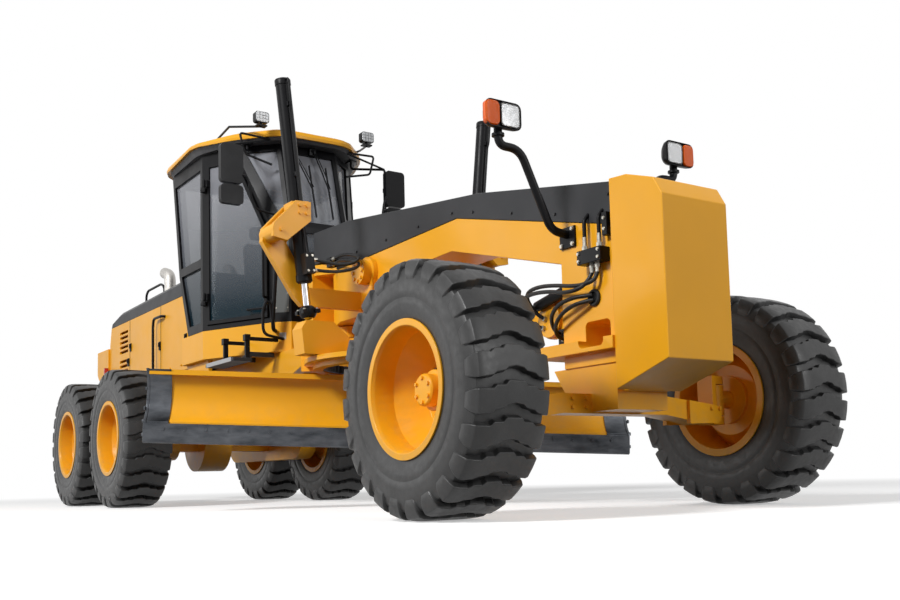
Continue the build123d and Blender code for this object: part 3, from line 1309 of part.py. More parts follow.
with BuildPart() as lift_saddle:
    for hand, side in SIDES:
        with BuildSketch(side_plane(side * (BEAM_HALF_WIDTH + SEAT_GAP))):
            with Locations((LIFT_X, SADDLE_Z)):
                Circle(SADDLE_HUB_RADIUS)
            with Locations(((ARM_BACK_X + LIFT_X + 100) / 2, (1500 + SADDLE_Z + 60) / 2)):
                Rectangle(LIFT_X + 100 - ARM_BACK_X, SADDLE_Z + 60 - 1500)
        extrude(amount=-side * 40)
        with BuildSketch(side_plane(side * (BEAM_HALF_WIDTH + SEAT_GAP))):
            with Locations((LIFT_X, SADDLE_Z)):
                Circle(SADDLE_HUB_RADIUS - 25)
        extrude(amount=-side * 110)
        # outline, where the plate starts, how thick it is
        for outline, start, thick in (
            (ARM_OUTLINE, ARM_BACK_X, 60),
            (CHEEK_OUTLINE, LIFT_X + LIFT_PRONG_GAP, LIFT_PRONG_THICK),
        ):
            with BuildSketch(Plane.YZ.offset(start)):
                with BuildLine():
                    Polyline(*[(side * across, up) for across, up in outline], close=True)
                make_face()
                with Locations((side * LIFT_PIVOT_Y, LIFT_PIVOT_Z)):
                    Circle(LIFT_PIN_RADIUS + FIT_GAP, mode=Mode.SUBTRACT)
            extrude(amount=thick)
        with BuildSketch(Plane.YZ.offset(ARM_BACK_X)):
            with Locations((side * LOBE[0], LOBE[1])):
                Circle(LOBE_RADIUS)
        extrude(amount=LIFT_X + LIFT_PRONG_GAP + LIFT_PRONG_THICK - ARM_BACK_X)
keep(lift_saddle, "lift_saddle")

# Head lamps: a bent tube out of each side of the leg, and a rounded housing on its end
LAMP_X = 3790
LAMP_Y = 690
LAMP_Z = 2192
LAMP_WIDTH = 245
LAMP_HEIGHT = 155
LAMP_DEPTH = 120
LAMP_TUBE_RADIUS = 24
LENS_THICK = 14
INDICATOR_WIDTH = 95
lamp_face_x = LAMP_X + LAMP_DEPTH / 2
with BuildPart() as head_lamps:
    for hand, side in SIDES:
        root_y = side * (BEAM_HALF_WIDTH + 8)
        with BuildSketch(side_plane(side * (BEAM_HALF_WIDTH + SEAT_GAP))):
            with Locations((LAMP_X, 1570)):
                RectangleRounded(130, 120, 20)
        extrude(amount=-side * 14)
        with BuildLine():
            FilletPolyline(
                (LAMP_X, root_y, 1585),
                (LAMP_X, side * 330, 1600),
                (LAMP_X, side * 540, 2036),
                (LAMP_X, side * LAMP_Y, 2036),
                (LAMP_X, side * LAMP_Y, LAMP_Z - LAMP_HEIGHT / 2 + 10),
                radius=45,
            )
        with BuildSketch(Plane(origin=(LAMP_X, root_y, 1585), z_dir=(0, side * 130, 15))):
            Circle(LAMP_TUBE_RADIUS)
        sweep()
        with BuildSketch(Plane.YZ.offset(LAMP_X - LAMP_DEPTH / 2)):
            with Locations((side * LAMP_Y, LAMP_Z)):
                RectangleRounded(LAMP_WIDTH, LAMP_HEIGHT, 25)
        extrude(amount=LAMP_DEPTH)
        with BuildSketch(Plane.YZ.offset(lamp_face_x)):
            with Locations((side * LAMP_Y, LAMP_Z)):
                RectangleRounded(LAMP_WIDTH - 16, LAMP_HEIGHT - 16, 18)
        extrude(amount=-LENS_THICK, mode=Mode.SUBTRACT)
keep(head_lamps, "head_lamps")

# Lenses: the clear one inboard and the indicator outboard, seated in the housing's mouth
lens_back_x = lamp_face_x - LENS_THICK + SEAT_GAP
clear_width = LAMP_WIDTH - 16 - INDICATOR_WIDTH - 3 * SEAT_GAP
for name, width, shift in (
    ("lamp_lenses", clear_width, -(INDICATOR_WIDTH + SEAT_GAP) / 2),
    ("indicator_lenses", INDICATOR_WIDTH, (clear_width + SEAT_GAP) / 2),
):
    with BuildPart() as lenses:
        for hand, side in SIDES:
            with BuildSketch(Plane.YZ.offset(lens_back_x)):
                with Locations((side * (LAMP_Y + shift), LAMP_Z)):
                    RectangleRounded(width, LAMP_HEIGHT - 16 - 2 * SEAT_GAP, 18)
            extrude(amount=LENS_THICK + 6)
    keep(lenses, name)

# Mirrors: two heads a side, on a tube that hangs from the roof's underside
MIRROR_X = 230
MIRROR_Y = 800
MIRROR_FOOT_X = -80
MIRROR_FOOT_Y = 520
MIRROR_WIDTH = 200
MIRROR_DEPTH = 55
# centre height and height of each head
MIRROR_HEADS = ((2890, 335), (2625, 165))
MIRROR_TUBE_RADIUS = 11
with BuildPart() as mirrors:
    for hand, side in SIDES:
        for head_z, height in MIRROR_HEADS:
            with BuildSketch(Plane.YZ.offset(MIRROR_X - MIRROR_DEPTH / 2)):
                with Locations((side * MIRROR_Y, head_z)):
                    RectangleRounded(MIRROR_WIDTH, height, 35)
            extrude(amount=MIRROR_DEPTH)
        with Locations((MIRROR_FOOT_X, side * MIRROR_FOOT_Y, CAB_TOP_Z - 6)):
            Box(110, 60, 12)
        with BuildLine():
            FilletPolyline(
                (MIRROR_FOOT_X, side * MIRROR_FOOT_Y, CAB_TOP_Z - 6),
                (MIRROR_FOOT_X, side * MIRROR_FOOT_Y, CAB_TOP_Z - 70),
                (MIRROR_X - 60, side * (MIRROR_Y - 60), CAB_TOP_Z - 110),
                (MIRROR_X - 60, side * (MIRROR_Y - 60), MIRROR_HEADS[1][0]),
                (MIRROR_X, side * (MIRROR_Y - 60), MIRROR_HEADS[1][0]),
                radius=30,
            )
        with BuildSketch(Plane(origin=(MIRROR_FOOT_X, side * MIRROR_FOOT_Y, CAB_TOP_Z - 6), z_dir=(0, 0, -1))):
            Circle(MIRROR_TUBE_RADIUS)
        sweep()
        for head_z, height in MIRROR_HEADS:
            with Locations((MIRROR_X - 45, side * (MIRROR_Y - 60), head_z)):
                Box(60, 34, 40)
keep(mirrors, "mirrors")

# Work lamps: a rail over each side of the roof that carries a small lamp at its front end
WORK_LAMP_X = 220
WORK_LAMP_Y = 520
RAIL_FOOT_X = -700
RAIL_FOOT_Y = 600
ROOF_TOP_Z = CAB_TOP_Z + ROOF_THICK + 2 * SEAT_GAP
with BuildPart() as roof_lamps:
    for hand, side in SIDES:
        with Locations((RAIL_FOOT_X, side * RAIL_FOOT_Y, ROOF_TOP_Z + 5)):
            Box(90, 50, 10)
        with BuildLine():
            FilletPolyline(
                (RAIL_FOOT_X, side * RAIL_FOOT_Y, ROOF_TOP_Z + 5),
                (RAIL_FOOT_X, side * RAIL_FOOT_Y, ROOF_TOP_Z + 40),
                (-150, side * 660, ROOF_TOP_Z + 30),
                (WORK_LAMP_X, side * WORK_LAMP_Y, ROOF_TOP_Z - 55),
                radius=22,
            )
        with BuildSketch(Plane(origin=(RAIL_FOOT_X, side * RAIL_FOOT_Y, ROOF_TOP_Z + 5), z_dir=(0, 0, 1))):
            Circle(10)
        sweep()
        with Locations((WORK_LAMP_X, side * WORK_LAMP_Y, ROOF_TOP_Z - 50)):
            Box(60, 90, 12)
            with Locations((0, 0, 25)):
                Box(16, 16, 50)
        with BuildSketch(Plane.YZ.offset(WORK_LAMP_X - 30)):
            with Locations((side * WORK_LAMP_Y, ROOF_TOP_Z + 20)):
                RectangleRounded(125, 95, 22)
        extrude(amount=60)
keep(roof_lamps, "roof_lamps")

# Steps: a tread plate outboard of each sill on two hangers
STEP_Z = 1235
STEP_INNER_Y = 630
STEP_OUTER_Y = 800
STEP_BACK_X = -380
STEP_FRONT_X = 250
HANGER_XS = (-300, 100)
HANGER_INNER_Y = 365
with BuildPart() as steps:
    for hand, side in SIDES:
        with Locations(((STEP_BACK_X + STEP_FRONT_X) / 2, side * (STEP_INNER_Y + STEP_OUTER_Y) / 2, STEP_Z)):
            Box(STEP_FRONT_X - STEP_BACK_X, STEP_OUTER_Y - STEP_INNER_Y, 30)
        for hanger_x in HANGER_XS:
            with BuildSketch(Plane.YZ.offset(hanger_x - 15)):
                with BuildLine():
                    Polyline(
                        (side * HANGER_INNER_Y, RAIL_TOP_Z),
                        (side * (STEP_INNER_Y - 30), RAIL_TOP_Z),
                        (side * (STEP_INNER_Y + 60), STEP_Z + 10),
                        (side * (STEP_INNER_Y + 60), STEP_Z - 10),
                        (side * STEP_INNER_Y, STEP_Z - 10),
                        (side * (STEP_INNER_Y - 60), RAIL_TOP_Z - 40),
                        (side * HANGER_INNER_Y, RAIL_TOP_Z - 40),
                        close=True,
                    )
                make_face()
            extrude(amount=30)
keep(steps, "steps")
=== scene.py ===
"""Looks of the motor grader: paint, rubber, glass, steel, lamps, hoses and small fittings."""

import bmesh
import bpy
from math import cos, pi, radians, sin
from mathutils import Matrix, Vector
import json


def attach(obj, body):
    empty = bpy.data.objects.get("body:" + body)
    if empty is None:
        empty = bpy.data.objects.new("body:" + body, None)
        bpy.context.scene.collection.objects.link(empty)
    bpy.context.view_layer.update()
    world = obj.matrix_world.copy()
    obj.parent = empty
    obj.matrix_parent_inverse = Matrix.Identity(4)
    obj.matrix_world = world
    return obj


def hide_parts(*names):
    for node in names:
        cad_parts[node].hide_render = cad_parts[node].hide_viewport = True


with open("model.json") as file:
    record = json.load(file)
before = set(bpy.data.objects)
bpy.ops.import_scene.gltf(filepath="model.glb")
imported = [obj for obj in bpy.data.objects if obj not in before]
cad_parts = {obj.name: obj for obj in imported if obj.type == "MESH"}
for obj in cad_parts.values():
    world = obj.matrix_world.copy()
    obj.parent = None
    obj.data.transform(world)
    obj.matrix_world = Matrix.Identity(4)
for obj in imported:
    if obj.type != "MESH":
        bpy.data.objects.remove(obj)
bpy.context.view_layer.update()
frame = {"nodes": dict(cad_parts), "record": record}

HANDS = (("left", 1), ("right", -1))
SIDES = (1, -1)

# Places shared with the machine's own pieces, in metres
TYRE_RADIUS = 0.660
BEAM_SIDE_Y = 0.200
CAB_FLOOR_Z = 1.580
CAB_KNEE_Z = 2.420
CAB_TOP_Z = 3.200
MID_AXLE_X, REAR_AXLE_X = -1.661, -3.199
# axle name, place along the machine, half track
AXLES = (("front", 3.830, 1.155), ("mid", MID_AXLE_X, 1.0775), ("rear", REAR_AXLE_X, 1.0775))


# Node and object helpers

def add_node(tree, kind, inputs=None, **settings):
    """A node with its settings and the values of its inputs."""
    node = tree.nodes.new(kind)
    for name, value in settings.items():
        setattr(node, name, value)
    set_inputs(node, inputs or {})
    return node


def set_inputs(node, values):
    for socket, value in values.items():
        node.inputs[socket].default_value = value


def connect(tree, *pairs):
    for source, target in pairs:
        tree.links.new(source, target)


def link_object(name, data):
    """A new object in the scene."""
    made = bpy.data.objects.new(name, data)
    bpy.context.scene.collection.objects.link(made)
    return made


# Shader helpers

def new_material(name):
    material = bpy.data.materials.new(name)
    material.use_nodes = True
    tree = material.node_tree
    tree.nodes.clear()
    out = add_node(tree, "ShaderNodeOutputMaterial")
    shader = add_node(tree, "ShaderNodeBsdfPrincipled")
    connect(tree, (shader.outputs["BSDF"], out.inputs["Surface"]))
    return material, shader


def join(material, source, target):
    material.node_tree.links.new(source, target)


def noise(material, scale, detail=4.0, rough=0.55, stretch=(1, 1, 1)):
    """Noise over the object's own metres, a value from 0 to 1."""
    tree = material.node_tree
    place = add_node(tree, "ShaderNodeTexCoord")
    turn = add_node(tree, "ShaderNodeMapping", {"Scale": stretch})
    grain = add_node(tree, "ShaderNodeTexNoise", {"Scale": scale, "Detail": detail, "Roughness": rough})
    connect(
        tree,
        (place.outputs["Object"], turn.inputs["Vector"]),
        (turn.outputs["Vector"], grain.inputs["Vector"]),
    )
    return grain.outputs["Fac"]


def waves(material, scale, direction, wobble=0.0):
    """Straight ribs across the object's own metres."""
    tree = material.node_tree
    place = add_node(tree, "ShaderNodeTexCoord")
    ribs = add_node(tree, "ShaderNodeTexWave", bands_direction=direction)
    set_inputs(ribs, {"Scale": scale, "Distortion": wobble})
    connect(tree, (place.outputs["Object"], ribs.inputs["Vector"]))
    return ribs.outputs["Fac"]


def ramp(material, value, stops):
    """Colours or greys along a value; stops are (place, colour)."""
    node = add_node(material.node_tree, "ShaderNodeValToRGB")
    band = node.color_ramp
    while len(band.elements) < len(stops):
        band.elements.new(0.5)
    for element, (place, colour) in zip(band.elements, stops):
        element.position = place
        element.color = (*colour, 1)
    join(material, value, node.inputs["Fac"])
    return node.outputs["Color"]


def grey(level):
    return (level, level, level)


def deeper(colour, share):
    return tuple(part * share for part in colour)


def mix(material, factor, a, b, kind="MIX"):
    node = add_node(material.node_tree, "ShaderNodeMix", data_type="RGBA", blend_type=kind)
    for socket, value in ((node.inputs[0], factor), (node.inputs[6], a), (node.inputs[7], b)):
        if isinstance(value, (int, float)):
            socket.default_value = value
        elif isinstance(value, tuple):
            socket.default_value = (*value, 1)
        else:
            join(material, value, socket)
    return node.outputs[2]


def bump(material, shader, height, strength, distance, under=None):
    node = add_node(material.node_tree, "ShaderNodeBump", {"Strength": strength, "Distance": distance})
    join(material, height, node.inputs["Height"])
    if under is not None:
        join(material, under, node.inputs["Normal"])
    join(material, node.outputs["Normal"], shader.inputs["Normal"])
    return node.outputs["Normal"]


def height_between(material, low, high):
    """Height above the ground, 0 at the low level and 1 at the high one."""
    tree = material.node_tree
    place = add_node(tree, "ShaderNodeTexCoord")
    split = add_node(tree, "ShaderNodeSeparateXYZ")
    span = add_node(tree, "ShaderNodeMapRange", {"From Min": low, "From Max": high})
    join(material, place.outputs["Object"], split.inputs["Vector"])
    join(material, split.outputs["Z"], span.inputs["Value"])
    return span.outputs["Result"]


def roughness(material, shader, scale, detail, low, high):
    """Roughness that drifts between two levels over the surface."""
    level = ramp(material, noise(material, scale, detail), ((0.3, grey(low)), (0.7, grey(high))))
    join(material, level, shader.inputs["Roughness"])


# Finishes

ROAD_DUST = (0.30, 0.25, 0.19)


def paint(name, colour, dull, coat, gleam=0.5, dust=0.05, low=0.25, high=0.95):
    """Sprayed paint: slight tone drift, orange peel, and road dust low down."""
    material, shader = new_material(name)
    drift = noise(material, 1.7, 3.0)
    tone = ramp(material, drift, ((0.35, deeper(colour, 0.94)), (0.65, colour)))
    height = height_between(material, low, high)
    near_ground = ramp(material, height, ((0.0, grey(1)), (1.0, grey(0))))
    specks = ramp(material, noise(material, 9.0, 8.0, 0.65), ((0.45, grey(0)), (0.72, grey(1))))
    film = mix(material, 1.0, near_ground, specks, "MULTIPLY")
    film = mix(material, 1.0, film, grey(dust), "MULTIPLY")
    join(material, mix(material, film, tone, ROAD_DUST), shader.inputs["Base Color"])
    roughness(material, shader, 5.0, 6.0, dull - 0.05, dull + 0.07)
    bump(material, shader, noise(material, 260.0, 2.0), 0.06, 0.0006)
    set_inputs(shader, {"Specular IOR Level": gleam, "Coat Weight": coat, "Coat Roughness": 0.12})
    return material


def rubber(name, dark, bloomed, dull, gleam=0.25):
    """Black rubber with a fine grain and a faint bloom."""
    material, shader = new_material(name)
    bloom = ramp(material, noise(material, 6.0, 6.0, 0.6), ((0.35, grey(dark)), (0.7, grey(bloomed))))
    join(material, bloom, shader.inputs["Base Color"])
    roughness(material, shader, 30.0, 4.0, dull - 0.07, dull + 0.09)
    set_inputs(shader, {"Specular IOR Level": gleam})
    coarse = bump(material, shader, noise(material, 60.0, 5.0), 0.25, 0.002)
    bump(material, shader, noise(material, 420.0, 3.0), 0.18, 0.001, coarse)
    return material


def tinted_glass(name, low_colour, painted_reflection_colour, clear):
    """Thin tinted pane with a painted reflection that pales it towards the roof, and a faint ripple."""
    material, shader = new_material(name)
    rise = height_between(material, CAB_FLOOR_Z, CAB_TOP_Z)
    # painted reflection: the colour runs from the dark tint low down to a pale grey near the roof
    tint_and_painted_reflection = ramp(material, rise, ((0.1, low_colour), (0.85, painted_reflection_colour)))
    smear = ramp(material, noise(material, 1.1, 2.0), ((0.3, grey(0.82)), (0.7, grey(1.0))))
    join(material, mix(material, 1.0, tint_and_painted_reflection, smear, "MULTIPLY"), shader.inputs["Base Color"])
    roughness(material, shader, 1.5, 2.0, 0.03, 0.06)
    set_inputs(shader, {"IOR": 1.5, "Alpha": clear, "Specular IOR Level": 0.3})
    bump(material, shader, noise(material, 0.9, 1.0), 0.02, 0.004)
    return material


def lens(name, colour, glow, spacing, coat=1.0):
    """Moulded lamp lens: two sets of fine prisms over a bright bowl."""
    material, shader = new_material(name)
    prisms = mix(material, 0.5, waves(material, spacing, "Y"), waves(material, spacing, "Z"))
    tone = ramp(material, prisms, ((0.25, deeper(colour, 0.62)), (0.75, colour)))
    join(material, tone, shader.inputs["Base Color"])
    roughness(material, shader, 20.0, 3.0, 0.08, 0.16)
    set_inputs(shader, {
        "Coat Weight": coat, "Specular IOR Level": 0.2,
        "Emission Color": (*colour, 1), "Emission Strength": glow,
    })
    bump(material, shader, prisms, 0.5, 0.002)
    return material


def clear_glass(name, clear, spacing):
    """Fluted clear glass over a reflector."""
    material, shader = new_material(name)
    flutes = waves(material, spacing, "Y", 0.4)
    tone = ramp(material, flutes, ((0.2, grey(0.55)), (0.8, grey(0.85))))
    join(material, tone, shader.inputs["Base Color"])
    roughness(material, shader, 20.0, 3.0, 0.03, 0.08)
    set_inputs(shader, {"Alpha": clear})
    bump(material, shader, flutes, 0.5, 0.003)
    return material


def bare_metal(name, dark, light, dull, grain=(1, 1, 1), scale=60.0):
    """Bare metal with its rolling or turning marks."""
    material, shader = new_material(name)
    marks = noise(material, scale, 5.0, 0.6, grain)
    join(material, ramp(material, marks, ((0.3, dark), (0.7, light))), shader.inputs["Base Color"])
    roughness(material, shader, 14.0, 5.0, dull - 0.08, dull + 0.1)
    set_inputs(shader, {"Metallic": 1.0})
    bump(material, shader, marks, 0.1, 0.0008)
    return material


def plastic(name, colour, dull):
    """Moulded plastic with a pebble grain."""
    material, shader = new_material(name)
    tone = ramp(material, noise(material, 8.0, 4.0), ((0.3, deeper(colour, 0.85)), (0.7, colour)))
    join(material, tone, shader.inputs["Base Color"])
    roughness(material, shader, 18.0, 3.0, dull - 0.05, dull + 0.06)
    bump(material, shader, noise(material, 700.0, 2.0), 0.15, 0.0008)
    return material


def woven(name, colour):
    """Seat cloth: crossed threads."""
    material, shader = new_material(name)
    threads = [waves(material, 160.0, axis, 0.8) for axis in ("X", "Y", "Z")]
    weave = mix(material, 0.5, mix(material, 0.5, threads[0], threads[1]), threads[2])
    tone = ramp(material, weave, ((0.2, deeper(colour, 0.6)), (0.8, colour)))
    join(material, tone, shader.inputs["Base Color"])
    set_inputs(shader, {"Roughness": 0.9, "Sheen Weight": 0.3})
    bump(material, shader, weave, 0.3, 0.0015)
    return material


YELLOW = paint("machine_yellow", (0.93, 0.43, 0.012), 0.36, 0.08, 0.28, dust=0.3)
COVER_GREY = paint("cover_grey", (0.040, 0.041, 0.044), 0.42, 0.0, 0.14, low=1.2, high=1.3)
BLACK = paint("frame_black", (0.006, 0.006, 0.007), 0.36, 0.0, 0.13, dust=0.2)
SILL_GREY = paint("sill_plate_grey", (0.42, 0.42, 0.42), 0.4, 0.0, 0.3)
PANEL_GREY = paint("corner_panel_grey", (0.095, 0.102, 0.100), 0.45, 0.0, 0.3)
TYRE = rubber("tyre_rubber", 0.011, 0.030, 0.42, 0.42)
HOSE = rubber("hose_rubber", 0.006, 0.013, 0.42, 0.3)
# the pale grey upper colour of the panes is a painted reflection
GLASS = tinted_glass("cab_pane", (0.012, 0.038, 0.056), (0.40, 0.41, 0.45), 0.52)
LAMP_BOWL = bare_metal("lamp_bowl", (0.62, 0.63, 0.64), (0.80, 0.81, 0.82), 0.2, scale=30.0)
CLEAR_LENS = lens("lamp_lens", (0.66, 0.68, 0.70), 0.06, 75.0)
HEAD_GLASS = clear_glass("head_lamp_glass", 0.16, 32.0)
ORANGE_LENS = lens("indicator_lens", (0.90, 0.13, 0.002), 0.06, 60.0, 0.1)
RED_LENS = lens("tail_lens", (0.60, 0.012, 0.010), 0.05, 60.0)
MIRROR_FACE = bare_metal("mirror_face", (0.62, 0.64, 0.66), (0.7, 0.72, 0.74), 0.1, scale=8.0)
CHROME = bare_metal("rod_chrome", (0.42, 0.42, 0.45), (0.60, 0.60, 0.63), 0.18, (1, 1, 6), 90.0)
EDGE_STEEL = bare_metal("edge_steel", (0.040, 0.044, 0.050), (0.105, 0.110, 0.120), 0.36, (1, 1, 3), 5.0)
ZINC = bare_metal("zinc_plate", (0.26, 0.25, 0.22), (0.44, 0.42, 0.37), 0.34)
DARK_BOLT = bare_metal("black_bolt", (0.030, 0.030, 0.032), (0.07, 0.07, 0.07), 0.45)
EXHAUST_METAL = bare_metal("exhaust_metal", (0.40, 0.385, 0.36), (0.58, 0.56, 0.53), 0.5)
IRON = paint("engine_iron", (0.05, 0.05, 0.05), 0.6, 0.0, 0.3)
CLOTH = woven("seat_cloth", (0.035, 0.036, 0.042))
PIPING = rubber("seat_piping", 0.012, 0.02, 0.6)
CAB_PLASTIC = plastic("cab_plastic", (0.03, 0.03, 0.033), 0.55)

FINISH = {
    "yellow_paint": YELLOW,
    "dark_paint": COVER_GREY,
    "black_paint": BLACK,
    "tyre_rubber": TYRE,
    "cab_glass": GLASS,
    "lamp_glass": CLEAR_LENS,
    "indicator_orange": ORANGE_LENS,
    "rod_chrome": CHROME,
    "edge_steel": EDGE_STEEL,
    "exhaust_steel": EXHAUST_METAL,
    "engine_iron": IRON,
    "seat_fabric": CLOTH,
    "cab_plastic": CAB_PLASTIC,
}
SLOT_OF = {entry["node"]: entry["material_slot"] for entry in frame["record"]["subparts"]}
BODY_OF = {node: body for body, held in frame["record"]["behaviour"]["bodies"].items() for node in held}

for node, obj in frame["nodes"].items():
    obj.data.materials.clear()
    obj.data.materials.append(FINISH[SLOT_OF[node]])


# Camera

CAMERA_PLACE = Vector((8.124, -4.011, 0.221))
CAMERA_YAW = radians(145.64)
CAMERA_PITCH = radians(5.02)
CAMERA_ROLL = radians(-1.43)
CAMERA_LENS = 40.5
SENSOR_WIDTH = 36
CAMERA_SHIFT = (-0.0009, 0.0971)


def build_camera():
    level = cos(CAMERA_PITCH)
    ahead = Vector((level * cos(CAMERA_YAW), level * sin(CAMERA_YAW), sin(CAMERA_PITCH)))
    right = ahead.cross(Vector((0, 0, 1))).normalized()
    up = right.cross(ahead)
    right_rolled = right * cos(CAMERA_ROLL) + up * sin(CAMERA_ROLL)
    up_rolled = up * cos(CAMERA_ROLL) - right * sin(CAMERA_ROLL)
    data = bpy.data.cameras.new("photo_view")
    data.sensor_width = SENSOR_WIDTH
    data.lens = CAMERA_LENS
    data.shift_x, data.shift_y = CAMERA_SHIFT
    data.clip_end = 200
    camera = link_object("photo_view", data)
    turn = Matrix((right_rolled, up_rolled, -ahead)).transposed().to_4x4()
    camera.matrix_world = Matrix.Translation(CAMERA_PLACE) @ turn
    bpy.context.scene.camera = camera


build_camera()


# Hydraulic hoses: each goes from a fitting on the machine to another one

HOSE_DIAMETER = 0.024
# name, body it rides, length, points from one fitting to the other
HOSES = (
    ("leg_hose_upper", "front_frame", 0.87, (
        (4.050, -0.226, 1.336), (4.048, -0.232, 1.296), (4.020, -0.262, 1.262), (3.900, -0.275, 1.262),
        (3.760, -0.278, 1.292), (3.600, -0.275, 1.312), (3.470, -0.262, 1.302), (3.425, -0.225, 1.255),
        (3.440, -0.175, 1.185), (3.470, -0.140, 1.150), (3.478, -0.118, 1.148),
    )),
    ("leg_hose_lower", "front_frame", 0.91, (
        (4.005, -0.226, 1.340), (4.002, -0.234, 1.302), (3.970, -0.280, 1.240), (3.860, -0.305, 1.228),
        (3.740, -0.308, 1.258), (3.580, -0.302, 1.274), (3.450, -0.285, 1.262), (3.395, -0.240, 1.205),
        (3.410, -0.180, 1.120), (3.448, -0.138, 1.096), (3.462, -0.118, 1.094),
    )),
    ("drum_hose_upper", "front_frame", 0.52, (
        (3.985, -0.216, 1.205), (3.960, -0.238, 1.203), (3.890, -0.275, 1.200), (3.780, -0.285, 1.180),
        (3.680, -0.262, 1.130), (3.628, -0.205, 1.070), (3.605, -0.150, 1.045), (3.600, -0.119, 1.043),
    )),
    ("drum_hose_lower", "front_frame", 0.50, (
        (3.992, -0.216, 1.176), (3.965, -0.238, 1.172), (3.890, -0.268, 1.160), (3.790, -0.272, 1.128),
        (3.705, -0.255, 1.070), (3.660, -0.205, 1.020), (3.646, -0.150, 1.004), (3.645, -0.119, 1.003),
    )),
)

# name, length, points from the right lift cylinder's port block to the side of the beam cover
LIFT_HOSES = (
    ("lift_hose_upper", 1.10, (
        (1.560, -0.735, 1.824), (1.562, -0.690, 1.822), (1.595, -0.590, 1.800), (1.650, -0.505, 1.784),
        (1.650, -0.395, 1.820), (1.560, -0.325, 1.885), (1.400, -0.310, 1.935), (1.200, -0.270, 1.975),
        (1.080, -0.243, 1.988), (1.010, -0.236, 1.990), (0.960, -0.236, 1.990),
    )),
    ("lift_hose_lower", 1.11, (
        (1.560, -0.727, 1.745), (1.562, -0.680, 1.744), (1.605, -0.575, 1.735), (1.665, -0.500, 1.740),
        (1.665, -0.395, 1.775), (1.595, -0.345, 1.840), (1.400, -0.330, 1.890), (1.200, -0.290, 1.930),
        (1.080, -0.254, 1.944), (1.010, -0.238, 1.945), (0.960, -0.238, 1.945),
    )),
)


def add_hose(name, body, points):
    """A hose as one smooth curve through its own listed control points."""
    data = bpy.data.curves.new(name, "CURVE")
    data.dimensions = "3D"
    run = data.splines.new("NURBS")
    run.points.add(len(points) - 1)
    for knot, place in zip(run.points, points):
        knot.co = (*place, 1)
    run.order_u = 3
    run.use_endpoint_u = True
    run.resolution_u = 8
    data.bevel_depth = HOSE_DIAMETER / 2
    data.bevel_resolution = 3
    data.use_fill_caps = True
    data.materials.append(HOSE)
    piece = link_object(name, data)
    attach(piece, body)


for name, body, length, points in HOSES:
    add_hose(name, body, points)
for hand, side in HANDS:
    for name, length, points in LIFT_HOSES:
        add_hose(f"{name}_{hand}", BODY_OF[f"lift_barrel_{hand}"],
                 [(x, -side * y, z) for x, y, z in points])


# Mesh helpers

def add_piece(name, shape, slot, body, material=None, replaces=()):
    """A finished piece from a bmesh, in metres in the row frame."""
    bmesh.ops.recalc_face_normals(shape, faces=shape.faces)
    mesh = bpy.data.meshes.new(name)
    shape.to_mesh(mesh)
    shape.free()
    piece = link_object(name, mesh)
    mesh.materials.append(material or FINISH[slot])
    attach(piece, body)
    if replaces:
        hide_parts(*replaces)
    return piece


def smooth(piece, angle=30):
    for face in piece.data.polygons:
        face.use_smooth = True
    piece.data.set_sharp_from_angle(angle=radians(angle))


def soften(piece, width, angle=30, segments=2):
    """Rounds a piece's sharp edges and shades the rest smooth."""
    round_edges = piece.modifiers.new("rounded edges", "BEVEL")
    round_edges.width = width
    round_edges.segments = segments
    round_edges.limit_method = "ANGLE"
    round_edges.angle_limit = radians(angle)
    round_edges.harden_normals = True
    smooth(piece, angle)


def apply_modifier(piece, modifier):
    """Makes the shape that a modifier gives the piece's own mesh."""
    made = bpy.data.meshes.new_from_object(piece.evaluated_get(bpy.context.evaluated_depsgraph_get()))
    piece.modifiers.remove(modifier)
    piece.data = made
    return made


def ease(node, width, angle=28):
    """A node's own shape with its sharp edges eased, as pressed and welded plate has them."""
    shape = bmesh.new()
    shape.from_mesh(frame["nodes"][node].data)
    bmesh.ops.remove_doubles(shape, verts=shape.verts, dist=0.00002)
    bmesh.ops.dissolve_limit(shape, angle_limit=radians(0.6), verts=shape.verts, edges=shape.edges)
    soften(add_piece(f"{node}_eased", shape, SLOT_OF[node], BODY_OF[node], replaces=(node,)), width, angle)


def add_loft(shape, rings, closed=False):
    """A skin over rings of points that all have the same count."""
    made = [[shape.verts.new(point) for point in ring] for ring in rings]
    count = len(made[0])
    pairs = list(zip(made, made[1:]))
    if closed:
        pairs.append((made[-1], made[0]))
    for low, high in pairs:
        for step in range(count):
            after = (step + 1) % count
            shape.faces.new((low[step], low[after], high[after], high[step]))
    if not closed:
        shape.faces.new(list(reversed(made[0])))
        shape.faces.new(made[-1])


def turns(count, start=0.0):
    """Cosine and sine at even steps round a circle."""
    angles = [(step + start) * 2 * pi / count for step in range(count)]
    return [(cos(angle), sin(angle)) for angle in angles]


def circle_points(centre, across, over, radius, sides):
    return [centre + (across * a + over * b) * radius for a, b in turns(sides)]


def frame_along(ahead):
    """Two directions square to a third one."""
    ahead = ahead.normalized()
    side = ahead.cross(Vector((0, 0, 1)))
    if side.length < 0.05:
        side = ahead.cross(Vector((0, 1, 0)))
    side.normalize()
    return side, ahead.cross(side)


def add_round(shape, start, end, radius, end_radius=None, sides=20):
    """A round bar or cone between two points."""
    start, end = Vector(start), Vector(end)
    across, over = frame_along(end - start)
    if end_radius is None:
        end_radius = radius
    foot = circle_points(start, across, over, radius, sides)
    add_loft(shape, [foot, circle_points(end, across, over, end_radius, sides)])


def add_block(shape, centre, size, turn=None):
    """A box about a centre, turned by a matrix if one is given."""
    turn = turn or Matrix.Identity(3)
    corners = ((-1, -1), (1, -1), (1, 1), (-1, 1))
    rings = []
    for up in (-1, 1):
        rings.append([
            Vector(centre) + turn @ Vector((a * size[0] / 2, b * size[1] / 2, up * size[2] / 2))
            for a, b in corners
        ])
    add_loft(shape, rings)


